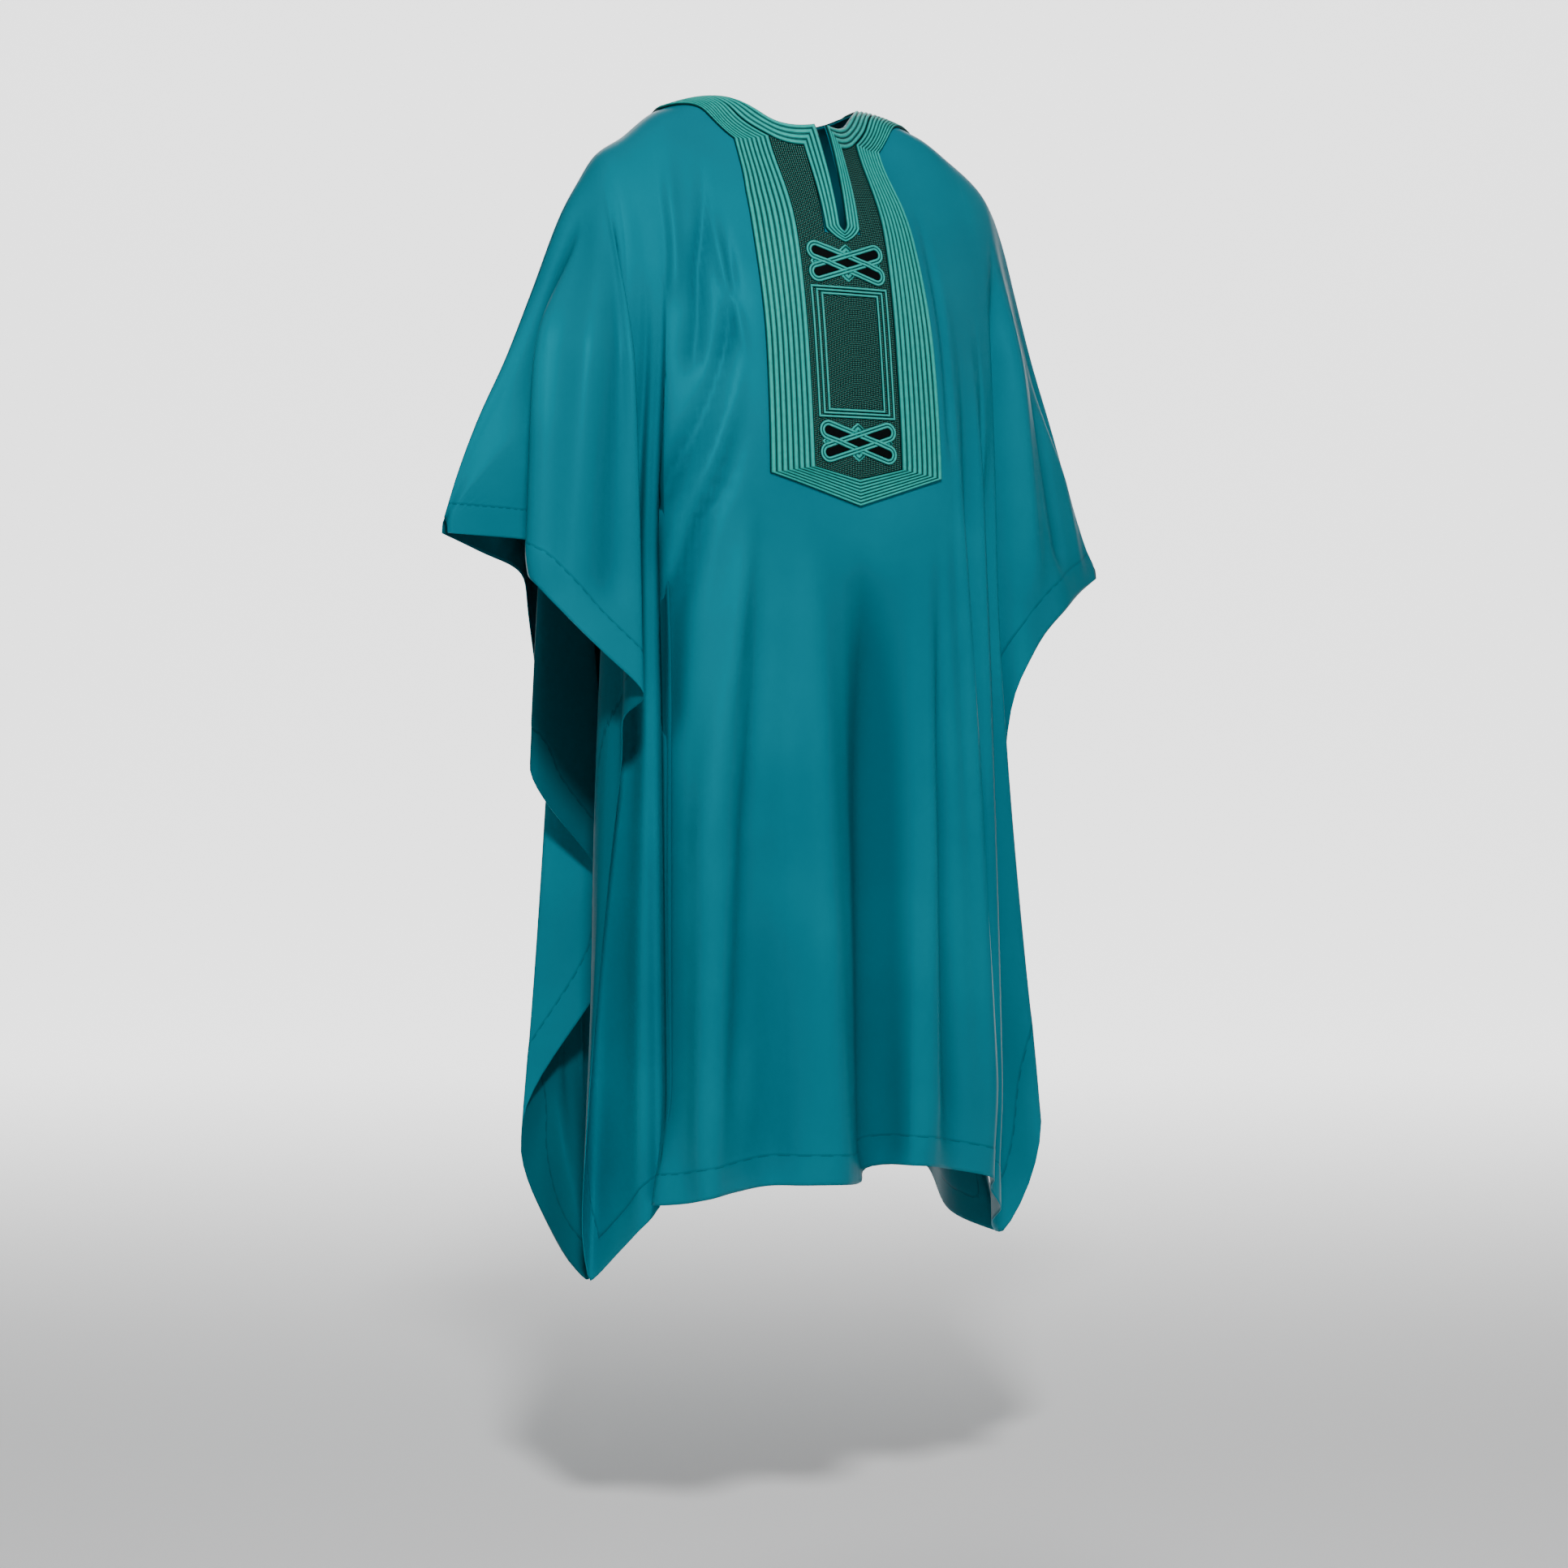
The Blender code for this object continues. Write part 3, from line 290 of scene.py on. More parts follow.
class Panel:
    # the front or the back: fold lines hung from the shoulder ridge, on a fine grid

    def __init__(self, side, folds, yoke, neckDepth, neckPower, neckRise):
        self.side = side
        self.neckDepth, self.neckPower, self.neckRise = neckDepth, neckPower, neckRise
        across, *outs = zip(*metres(yoke))
        self.yokeLines = [Line(across, out) for out in outs]
        self.roots = [0.0] + [math.sqrt(drop / 1000) for drop in yokeDrops]
        folds = [Fold(*row[:3], *metres([row[3:]])[0]) for row in folds]
        places = [0.0]
        for a, b in zip(folds, folds[1:]):
            middle = math.hypot(b.midX - a.midX, b.midY - a.midY)
            end = math.hypot(b.endX - a.endX, b.endY - a.endY)
            places.append(places[-1] + max((middle + end) / 2, 0.012))
        self.places = places
        self.corners = [place for place, fold in zip(places, folds)
                        if fold.name.endswith("corner")]
        self.lines = {field: Line(places, [getattr(fold, field) for fold in folds])
                      for field in Fold._fields[1:]}
        self.makeGrid()

    def topZ(self, x):
        inside = max(1 - (x / neck["halfWidth"]) ** 2, 0)
        return ridgeHeight(x) + self.neckRise * inside * inside

    def yokeLine(self, x):
        return Line(self.roots, [0.0] + [float(line(abs(x))) for line in self.yokeLines])

    def yokeDrop(self, x, out):
        line = self.yokeLine(x)
        return bisected(0.0, self.roots[-1], lambda root: line(root) < out) ** 2

    def placeOf(self, x):
        return bisected(self.places[0], self.places[-1], lambda place: self.lines["top"](place) < x)

    def neckEdge(self, x):
        share = min(abs(x) / neck["halfWidth"], 1)
        return self.neckDepth * (1 - share**self.neckPower) ** (1 / self.neckPower)

    def column(self, place):
        # the points of one fold line, from the ridge or the neck's edge to the free edge
        row = {field: float(line(place)) for field, line in self.lines.items()}
        topX, start, mid = row["top"], row["start"], row["mid"]
        topZ = self.topZ(topX)
        length = topZ - row["endZ"]
        first = 0.0
        if abs(topX) < neck["halfWidth"] - 1e-6:
            first = self.yokeDrop(topX, self.neckEdge(topX))
        full = min(cloth["yokeEnd"], 0.45 * length)
        last = min(cloth["hemZone"], 0.2 * length)
        share = np.linspace(0, 1, cloth["yokeRows"])
        close = min(full / 0.20, 1)
        near = (math.sqrt(first) + (math.sqrt(full) - math.sqrt(first)) * share) ** 2
        upper = near * close + (first + (full - first) * share) * (1 - close)
        lower = np.linspace(full, length - last, cloth["lowerRows"])[1:]
        hem = np.linspace(length - last, length, cloth["hemRows"])[1:]
        drops = np.concatenate([upper, lower, hem])
        yoke = self.yokeLine(topX)
        outMid = self.side * float(yoke(math.sqrt(mid * length)))
        outEnd = self.side * float(yoke(math.sqrt(length)))
        stand = Line((start, mid, 1.0), (0.0, row["midY"] - outMid, row["endY"] - outEnd), True)
        shift = Line((start, mid, 1.0), (0.0, row["midX"] - topX, row["endX"] - topX), True)
        shares = drops / length
        x = topX + shift(shares)
        y = self.side * yoke(np.sqrt(drops)) + stand(shares)
        if first == 0.0:
            held = smoothStep((drops - 0.10) / 0.06)
            least = np.maximum(np.abs(y), cloth["foldHalf"] * np.minimum(drops / 0.0012, 1) ** 0.5)
            y = np.where(held < 1, self.side * least, y)
            y[0] = self.side * cloth["seamGap"]
        return np.stack([x, y, topZ - drops], axis=1), drops, topX

    def makeGrid(self):
        count = int(self.places[-1] / cloth["columnStep"])
        found = list(np.linspace(0, self.places[-1], count + 1))
        wanted = [self.placeOf(side * x) for x in (0.0805, neck["halfWidth"]) for side in (-1, 1)]
        if self.side < 0:
            wanted += [self.placeOf(side * slit["halfWidth"]) for side in (-1, 1)]
        found = [p for p in found if min(abs(p - w) for w in wanted) > 0.0022]
        self.columns = sorted(found + wanted)
        made = [self.column(place) for place in self.columns]
        self.points = np.array([points for points, drops, top in made])
        self.drops = np.array([drops for points, drops, top in made])
        self.tops = [top for points, drops, top in made]
        self.roundFolds()
        self.addCreases()
        self.hemDistance = self.distanceToEdge()
        turned = smoothStep((cloth["hemWidth"] - self.hemDistance) / 0.0016)
        self.points += self.normals() * (cloth["hemRise"] * turned)[..., None]
        self.normal = self.normals()

    def roundFolds(self):
        # folds turn softly: each row is evened out across, less near the ridge and the placket
        drops = self.drops
        amount = smoothStep((drops - 0.03) / 0.10)
        if self.side < 0:
            nearPlacket = 1 - smoothStep((np.abs(self.points[:, :, 0]) - 0.112) / 0.02)
            above = 1 - smoothStep((drops - 0.46) / 0.06)
            amount = amount * (1 - nearPlacket * above)
        low = smoothStep((drops / drops[:, -1:] - 0.80) / 0.12)
        for corner in self.corners:      # the sewn lower corners stay where they meet
            near = np.exp(-((np.array(self.columns) - corner) / 0.030) ** 2)[:, None]
            amount = amount * (1 - near * low)
        for _ in range(cloth["roundingPasses"]):
            middle = (self.points[:-2] + self.points[2:]) / 2
            self.points[1:-1] += 0.5 * amount[1:-1, :, None] * (middle - self.points[1:-1])

    def addCreases(self):
        x, z = self.points[:, :, 0], self.points[:, :, 2]
        rise = np.zeros_like(x)
        place = np.array(self.columns)[:, None]
        for side, depth, width, path in creases:
            if side != self.side:
                continue
            path = np.array(path) / 1000
            heights = path[::-1, 1]
            middle = np.interp(z, heights, path[::-1, 0])
            length = heights[-1] - heights[0]
            along = np.clip((heights[-1] - z) / length, 0, 1)
            fade = smoothStep(along / 0.45) * smoothStep((1 - along) / 0.14)
            rise += depth / 1000 * fade * np.exp(-((place - middle) / (width / 1000)) ** 2)
        # slow unevenness of hanging cloth
        low = smoothStep((self.drops - 0.18) / 0.5)
        for height, length, start, sway, rate in cloth["waves"]:
            wander = sway * np.sin(self.drops * rate)
            rise += height * low * np.sin(place * 2 * np.pi / length + start + wander)
        if self.side < 0:
            nearPlacket = 1 - smoothStep((np.abs(x) - 0.104) / 0.03)
            rise *= 1 - nearPlacket * (1 - smoothStep((-z - 0.43) / 0.10))
        rise *= smoothStep((np.abs(self.points[:, :, 1]) - 0.012) / 0.03)
        self.points += self.normals() * rise[..., None]
        self.rise = rise

    def normals(self):
        along = np.gradient(self.points, axis=0)
        down = np.gradient(self.points, axis=1)
        found = np.cross(along, down) * self.side
        return found / np.maximum(np.linalg.norm(found, axis=2, keepdims=True), 1e-9)

    def distanceToEdge(self):
        # how far each point lies from the free edge, in the plane of the flat cut
        points = self.points
        steps = [0.0]
        for a, b in zip(points, points[1:]):
            short, long = (a, b) if a[-1, 2] > b[-1, 2] else (b, a)
            level = [np.interp(-short[-1, 2], -long[:, 2], long[:, k]) for k in (0, 1)]
            steps.append(math.hypot(level[0] - short[-1, 0], level[1] - short[-1, 1]))
        across, down = np.cumsum(steps), -points[:, :, 2]
        fine = np.linspace(across[0], across[-1], len(points) * 8)
        edge = np.interp(fine, across, down[:, -1])
        found = np.full(down.shape, 1.0)
        for i in range(len(points)):
            near = np.abs(fine - across[i]) < 0.06
            aside, below = fine[near][None, :] - across[i], edge[near][None, :] - down[i][:, None]
            gaps = np.hypot(aside, below)
            found[i] = gaps.min(axis=1)
        return found

    def at(self, topX, drop, height):
        # a point on the fine cloth by ridge place and drop, moved out by a height
        i = min(max(bisect_right(self.tops, topX) - 1, 0), len(self.tops) - 2)
        u = (topX - self.tops[i]) / (self.tops[i + 1] - self.tops[i])
        row = self.drops[i] + (self.drops[i + 1] - self.drops[i]) * u
        j = min(max(int(np.searchsorted(row, drop, side="right")) - 1, 0), len(row) - 2)
        v = (drop - row[j]) / (row[j + 1] - row[j])
        made = []
        for grid in (self.points, self.normal):
            near = grid[i, j] * (1 - v) + grid[i, j + 1] * v
            far = grid[i + 1, j] * (1 - v) + grid[i + 1, j + 1] * v
            made.append(near * (1 - u) + far * u)
        return made[0] + made[1] / np.linalg.norm(made[1]) * height


def slitHalfWidth(z):
    share = min(max(z / slit["bottomZ"], 0), 1)
    return slit["halfWidth"] + (slit["halfWidthLow"] - slit["halfWidth"]) * share


print("hanging the cloth")
front = Panel(-1, frontFolds, frontYoke, neck["front"], neck["frontPower"], 0.0)
back = Panel(1, backFolds, backYoke, neck["back"], neck["backPower"], neck["backRise"])


class Wire:
    # a value in a material, so that shader maths reads as plain sums

    def __init__(self, finish, socket):
        self.finish, self.socket = finish, socket

    def sum(self, operation, other=0.0, flipped=False):
        pair = (other, self) if flipped else (self, other)
        return self.finish.add("ShaderNodeMath", {"operation": operation}, {0: pair[0], 1: pair[1]})

    def __add__(self, other):
        return self.sum("ADD", other)

    def __sub__(self, other):
        return self.sum("SUBTRACT", other)

    def __rsub__(self, other):
        return self.sum("SUBTRACT", other, True)

    def __mul__(self, other):
        return self.sum("MULTIPLY", other)

    def __truediv__(self, other):
        return self.sum("DIVIDE", other)

    __radd__ = __add__
    __rmul__ = __mul__

    def sine(self):
        return self.sum("SINE")

    def size(self):
        return self.sum("ABSOLUTE")

    def part(self):
        return self.sum("FRACT")

    def ramp(self, low, high):
        # 0 at low, 1 at high, softly between
        return self.finish.add("ShaderNodeMapRange", {"interpolation_type": "SMOOTHSTEP"},
                               {"Value": self, "From Min": low, "From Max": high})


class Finish:
    # a material; plain numbers go straight onto its shader

    def __init__(self, name, **plain):
        self.material = bpy.data.materials.new(name)
        self.material.use_nodes = True
        self.tree = self.material.node_tree
        self.shader = self.tree.nodes["Principled BSDF"]
        for socket, value in plain.items():
            self.shader.inputs[socket.replace("_", " ")].default_value = value

    def add(self, kind, settings=None, values=None, output=0):
        node = self.tree.nodes.new(kind)
        for setting, value in (settings or {}).items():
            setattr(node, setting, value)
        for socket, value in (values or {}).items():
            if isinstance(value, Wire):
                self.tree.links.new(value.socket, node.inputs[socket])
            else:
                node.inputs[socket].default_value = value
        return Wire(self, node.outputs[output])

    def mix(self, factor, a, b):
        return self.add("ShaderNodeMix", {"data_type": "RGBA"}, {0: factor, 6: a, 7: b}, 2)

    def mapOf(self, name):
        # across and along, in the map's own units
        whole = self.add("ShaderNodeUVMap", {"uv_map": name})
        split = self.add("ShaderNodeSeparateXYZ", None, {0: whole})
        return split, Wire(self, split.socket.node.outputs[1])

    def where(self):
        # the place on the object, in metres
        return self.add("ShaderNodeTexCoord", None, None, 3)

    def reach(self, direction):
        # how far along a direction a place lies
        return self.add("ShaderNodeVectorMath", {"operation": "DOT_PRODUCT"},
                        {0: self.where(), 1: tuple(direction)}, 1)

    def noise(self, scale, detail=3.0):
        values = {"Scale": scale, "Detail": detail, "Vector": self.where()}
        return self.add("ShaderNodeTexNoise", None, values)

    def feed(self, socket, wire):
        self.tree.links.new(wire.socket, self.shader.inputs[socket])

    def bump(self, height, distance, strength=1.0):
        values = {"Height": height, "Distance": distance, "Strength": strength}
        self.feed("Normal", self.add("ShaderNodeBump", None, values))


def linear(red, green, blue):
    # a colour as seen on a screen, 0-255, in the shader's units
    def one(value):
        value = value / 255
        return value / 12.92 if value <= 0.04045 else ((value + 0.055) / 1.055) ** 2.4
    return (one(red), one(green), one(blue), 1.0)


# one of these colours is a painted shade that darkens the hollows of the creases
clothLook = {"colour": (0, 127, 144), "deep": (0, 118, 135), "troughShade": (0, 70, 84),
             "line": (0, 45, 55), "twill": 0.0011, "stitchAt": 0.0298}


def clothFinish(name, share, gloss):
    # share darkens the colour toward black: painted shade on the cloth's inside, as if shadowed by
    # a body within; the inside also gets less gloss
    finish = Finish(name, Specular_IOR_Level=gloss, Specular_Tint=linear(0, 165, 188))
    across, along = finish.mapOf("cut")
    slub = finish.noise(5.0)
    tone = finish.mix(slub.ramp(0.35, 0.68), linear(*clothLook["deep"]),
                      linear(*clothLook["colour"]))
    edge = finish.add("ShaderNodeAttribute", {"attribute_name": "hem"}, None, 2)
    stitch = 1 - ((edge - clothLook["stitchAt"]).size() / 0.0007).ramp(0.4, 1.0)
    dashes = ((across + along) * 330.0).sine().ramp(-0.7, 0.2)
    fold = 1 - ((edge - cloth["hemWidth"]).size() / 0.0016).ramp(0.2, 1.0)
    dark = linear(*clothLook["line"])
    # painted shade: the colour darkens where the creases sink in, the more the deeper
    troughShade = finish.add("ShaderNodeAttribute", {"attribute_name": "troughShade"}, None, 2)
    tone = finish.mix(troughShade.ramp(0.001, 0.018) * 0.55, tone, linear(*clothLook["troughShade"]))
    base = finish.mix(stitch * dashes * 0.35, tone, dark)
    base = finish.mix(fold * 0.22, base, dark)
    # painted shade: the inside copy is darkened toward black
    if share < 1:
        base = finish.mix(1 - share, base, (0.0, 0.0, 0.0, 1.0))
    finish.feed("Base Color", base)
    pitch = 2 * math.pi / clothLook["twill"]
    twill = ((across + along) * pitch).sine() * 0.5 + ((across - along) * pitch * 0.5).sine() * 0.2
    fine = finish.noise(900.0, 2.0)
    finish.feed("Roughness", slub * 0.08 + 0.38)
    finish.bump(twill * 0.10 + fine * 0.22 - stitch * dashes * 1.3 - fold * 0.5, 0.00035, 0.55)
    return finish.material


# the cord's own colour; a darker colour that is painted shade between the thread's strands mixed
# with random unevenness; painted shade for the valleys between cords
cordLook = {"colour": (50, 205, 192), "shade": (8, 150, 142), "grooveShade": (0, 58, 58),
            "thread": 0.00085}


def cordFinish(name, colour, shade, grooveShade):
    # shining thread laid slantwise over each cord; the map counts cords across
    finish = Finish(name, Specular_IOR_Level=0.45, Specular_Tint=linear(110, 235, 220))
    across, along = finish.mapOf("cords")
    cord = across.part()
    middle = (cord - 0.5).size() * 2.0
    thread = (along / cordLook["thread"] + cord * 2.6).part()
    strand = (thread - 0.5).size() * 2.0
    uneven = finish.noise(160.0)
    # partly painted shade between the slanted strands, partly random unevenness of the thread
    tone = finish.mix(strand.ramp(0.15, 0.95) * 0.35 + uneven.ramp(0.35, 0.7) * 0.25,
                      linear(*colour), linear(*shade))
    # painted shade: darker toward the valleys between cords
    tone = finish.mix(middle.ramp(0.30, 0.92), tone, linear(*grooveShade))
    finish.feed("Base Color", tone)
    finish.feed("Roughness", strand * 0.16 + 0.30)
    finish.bump((1 - strand.ramp(0.3, 1.0)) * 0.8 + uneven * 0.5, 0.00030, 0.8)
    return finish.material


netLook = {"ground": (2, 20, 20), "thread": (60, 150, 140), "grey": (98, 146, 134), "pitch": 0.0040}


def netFinish():
    finish = Finish("Dark net", Roughness=0.75, Specular_IOR_Level=0.15,
                    Specular_Tint=linear(90, 180, 160))
    across, along = finish.mapOf("net")
    turn = 2 * math.pi / netLook["pitch"]
    cross = ((across + along) * turn).sine() * ((across - along) * turn).sine()
    mask = cross.ramp(0.05, 0.75)
    row = ((across + along) / netLook["pitch"]).part().ramp(0.45, 0.55)
    thread = finish.mix(row, linear(*netLook["thread"]), linear(*netLook["grey"]))
    finish.feed("Base Color", finish.mix(mask, linear(*netLook["ground"]), thread))
    finish.bump(mask, 0.0003, 0.8)
    return finish.material


def voidFinish():
    # the dark cloth in the knots' openings
    finish = Finish("Black satin", Roughness=0.6, Specular_IOR_Level=0.10)
    weave = finish.noise(700.0)
    finish.feed("Base Color", finish.mix(weave.ramp(0.3, 0.7), linear(1, 4, 5), linear(4, 10, 11)))
    finish.bump(weave, 0.0002, 0.5)
    return finish.material


print("mixing the finishes")
tealSuiting = clothFinish("Teal suiting", 1.0, 0.32)
# the inside copy, darker: painted shade
shadedInside = clothFinish("Teal suiting inside, painted shade", 0.56, 0.15)
mintCord = cordFinish("Mint cord", cordLook["colour"], cordLook["shade"], cordLook["grooveShade"])
# its second colour is painted shade between strands mixed with random tone; its third is painted
# shade for the valleys between cords
knotCord = cordFinish("Knot cord", (58, 212, 198), (10, 156, 148), (0, 44, 46))
darkNet = netFinish()
blackSatin = voidFinish()


def addObject(name, data):
    made = bpy.data.objects.new(name, data)
    bpy.context.scene.collection.objects.link(made)
    return made


def addPiece(name, points, faces, material, mapName, mapPoints):
    mesh = bpy.data.meshes.new(name)
    mesh.from_pydata([tuple(map(float, p)) for p in points], [], faces)
    mesh.shade_smooth()
    layer = mesh.uv_layers.new(name=mapName)
    corners = np.zeros(len(mesh.loops), int)
    mesh.loops.foreach_get("vertex_index", corners)
    layer.data.foreach_set("uv", np.array(mapPoints, np.float32)[corners].ravel())
    mesh.materials.append(material)
    piece = addObject(name, mesh)
    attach(piece, "root")
    return piece


def thicken(piece, thickness):
    wall = piece.modifiers.new("Wall", "SOLIDIFY")
    wall.thickness = thickness
    wall.offset = -1
    return wall


def addCloth(name, panel):
    columns, rows = panel.points.shape[:2]
    points = panel.points.reshape(-1, 3)
    faces = []
    for i in range(columns - 1):
        middle = (panel.tops[i] + panel.tops[i + 1]) / 2
        besideSlit = panel.side < 0 and abs(middle) < slit["halfWidth"]
        for j in range(rows - 1):
            a, b = i * rows + j, (i + 1) * rows + j
            if besideSlit and points[a + 1][2] > slit["bottomZ"] - 0.002:
                continue
            face = [a, a + 1, b + 1, b]
            faces.append(face if panel.side < 0 else face[::-1])
    place = np.repeat(np.array(panel.columns), rows)
    cut = np.stack([place, panel.drops.ravel()], axis=1)
    piece = addPiece(name, points, faces, tealSuiting, "cut", cut)
    # each point's crease depth goes along for the cloth's painted shade
    for label, values in (("hem", panel.hemDistance), ("troughShade", -panel.rise)):
        layer = piece.data.attributes.new(label, "FLOAT", "POINT")
        layer.data.foreach_set("value", values.astype(np.float32).ravel())
    # the wall's inner shell takes the darker copy, painted shade for the inside
    piece.data.materials.append(shadedInside)
    thicken(piece, cloth["thickness"]).material_offset = 1
    return piece


def sweepBand(name, profile, stations, locate, material, cords, closed=False):
    # a band swept through its stations; the profile holds (share across, height)
    points, faces, maps = [], [], []
    size = len(profile)
    run, before = 0.0, None
    for station in stations:
        middle = locate(station, 0.5, profile[size // 4][1])
        if before is not None:
            run += float(np.linalg.norm(middle - before))
        before = middle
        for share, height in profile:
            points.append(locate(station, share, height))
            maps.append((share * cords, run))
    rings = len(stations)
    for i in range(rings if closed else rings - 1):
        a, b = i * size, (i + 1) % rings * size
        for j in range(size):
            k = (j + 1) % size
            faces.append([a + j, a + k, b + k, b + j])
    if not closed:
        faces += [list(range(size))[::-1], list(range((rings - 1) * size, rings * size))]
    return addPiece(name, points, faces, material, "cords", maps)


def cordProfile(cords, steps=6):
    valley, crest = placket["valley"], placket["crest"]
    top = []
    for cord in range(cords):
        for step in range(steps):
            t = step / steps
            height = valley + (crest - valley) * math.sin(math.pi * t) ** 0.7
            top.append(((cord + t) / cords, height))
    top.append((1.0, valley))
    bottom = [(share, placket["under"]) for share in np.linspace(1, 0, 2 * cords + 1)]
    return top + bottom


def frontAt(x, z, height):
    return front.at(x, ridgeHeight(x) - z, height)


def yokeAt(panel, x, y, height):
    return panel.at(x, panel.yokeDrop(x, y), height)


# the embroidery of the neck and chest, in the sizes that the CAD has
placket = {
    "inner": 0.0525,
    "outer": ((-0.41, 0.1040), (-0.28, 0.1020), (-0.15, 0.0985), (-0.04, 0.0880)),
    "cornerZ": (-0.396, -0.404),
    "pointZ": (-0.408, -0.436),
    "collarOuter": 0.156,
    "mitre": (0.0893, 0.0413),
    "innerRun": 0.0237,
    "frontRun": 0.0145,
    "outerCords": 8,
    "neckCords": 4,
    "slitBand": 0.0165,
    "slitFoot": 0.0120,
    "gap": 0.0005,
    "under": 0.0006,
    "valley": 0.0018,
    "crest": 0.0037,
    "collarSteps": 22,
    "sideSteps": 70,
    "pointSteps": 14,
    "neckSteps": 26,
    "slitSteps": 30,
    "footSteps": 8,
    "backSteps": 34,
}
placketOuter = Line(*zip(*placket["outer"]))


def between(pair, share):
    return pair[0] + (pair[1] - pair[0]) * share


def neckCurve(share, turn):
    halfWidth = neck["halfWidth"] + placket["innerRun"] * share
    depth = neck["front"] + placket["frontRun"] * share
    return powerCurve(halfWidth, depth, neck["frontPower"] * (1 - 0.08 * share), turn)


def mitreTurn(x, share):
    return bisected(0.0, math.pi / 2, lambda turn: neckCurve(share, turn)[0] > x)


mitreInner = mitreTurn(placket["inner"], 1.0)


def collarCurve(share, along):
    inner = Vector(neckCurve(1.0, along * mitreInner)) + Vector((0.6, 0.8)) * placket["gap"]
    outer = Vector((placket["collarOuter"], 0.0)).lerp(Vector(placket["mitre"]), along)
    return inner.lerp(outer, share)


sideTops = {}


def sideTop(side, share):
    key = (side, round(share, 5))
    if key not in sideTops:
        mitre = collarCurve(share, 1.0)
        topZ = ridgeHeight(side * mitre.x) - front.yokeDrop(mitre.x, mitre.y)
        sideTops[key] = (mitre.x, topZ)
    return sideTops[key]


def outerPoint(station, share, height):
    side, part, along = station
    if part == "collar":
        x, y = collarCurve(share, along)
        return yokeAt(front, side * x, max(y, cloth["seamGap"]), height)
    cornerZ = between(placket["cornerZ"], share)
    if part == "side":
        mitreX, topZ = sideTop(side, share)
        z = topZ + (cornerZ - topZ) * along
        x = placket["inner"] + (float(placketOuter(z)) - placket["inner"]) * share
        x += (mitreX - x) * max(1 - along * 6, 0)
        return frontAt(side * x, z, height)
    x = placket["inner"] + (float(placketOuter(cornerZ)) - placket["inner"]) * share
    z = cornerZ + (between(placket["pointZ"], share) - cornerZ) * along
    return frontAt(side * x * (1 - along), z, height)


def shares(name, power=1.0):
    count = placket[name]
    return [(i / count) ** power for i in range(count + 1)]


def mirrored(half):
    right = [(-1, part, along) for part, along in half]
    left = [(1, part, along) for part, along in half[:-1]]
    return right + left[::-1]


def outerStations():
    half = [("collar", along) for along in shares("collarSteps", 1.3)[:-1]]
    half += [("side", along) for along in shares("sideSteps", 1.1)]
    half += [("point", along) for along in shares("pointSteps")[1:]]
    return mirrored(half)


def neckPoint(station, share, height):
    side, part, along = station
    slitX = slit["halfWidth"] + placket["gap"] + placket["slitBand"] * share
    if part == "neck":
        x, y = neckCurve(share, along * mitreTurn(slitX, share))
        return yokeAt(front, side * x, max(y, cloth["seamGap"]), height)
    topY = neckCurve(share, mitreTurn(slitX, share))[1]
    topZ = ridgeHeight(slitX) - front.yokeDrop(slitX, topY)
    footZ = slit["bottomZ"] - 0.001 - placket["slitFoot"] * share
    turnZ = slit["bottomZ"] + 0.006 - 0.004 * share
    if part == "slit":
        z = topZ + (turnZ - topZ) * along
        x = slitHalfWidth(z) + placket["gap"] + placket["slitBand"] * share
        return frontAt(side * x, z, height)
    lowX = slitHalfWidth(turnZ) + placket["gap"] + placket["slitBand"] * share
    turn = along * math.pi / 2
    reach = lowX * (0.35 * math.cos(turn) + 0.65 * (1 - along))
    sunk = 0.4 * math.sin(turn) + 0.6 * along
    return frontAt(side * reach, turnZ + (footZ - turnZ) * sunk, height)


def neckStations():
    half = [("neck", along) for along in shares("neckSteps", 1.3)[:-1]]
    half += [("slit", along) for along in shares("slitSteps")]
    half += [("foot", along) for along in shares("footSteps")[1:]]
    return mirrored(half)


def backNeckPoint(station, share, height):
    halfWidth = neck["halfWidth"] + (placket["collarOuter"] - neck["halfWidth"]) * share
    x, y = powerCurve(halfWidth, neck["back"] + 0.050 * share, neck["backPower"], station)
    return yokeAt(back, x, max(y, cloth["seamGap"]), height)


print("stitching the collar and placket")
turns = [math.pi / 2 * share for share in shares("backSteps", 1.15)]
turns += [math.pi - turn for turn in turns[-2::-1]]


def sewCords(name, cords, stations, locate):
    return sweepBand(name, cordProfile(cords), stations, locate, mintCord, cords)


outerCords = sewCords("OuterCords", placket["outerCords"], outerStations(), outerPoint)
neckCords = sewCords("NeckCords", placket["neckCords"], neckStations(), neckPoint)
backNeckCords = sewCords("BackNeckCords", placket["outerCords"] + placket["neckCords"], turns,
                         backNeckPoint)

net = {"top": 0.0013, "under": 0.0005, "upperRows": 50, "lowerRows": 100, "sideColumns": 12,
       "middleColumns": 18, "tuck": 0.0008, "neckTuck": 0.001, "footTuck": 0.003}


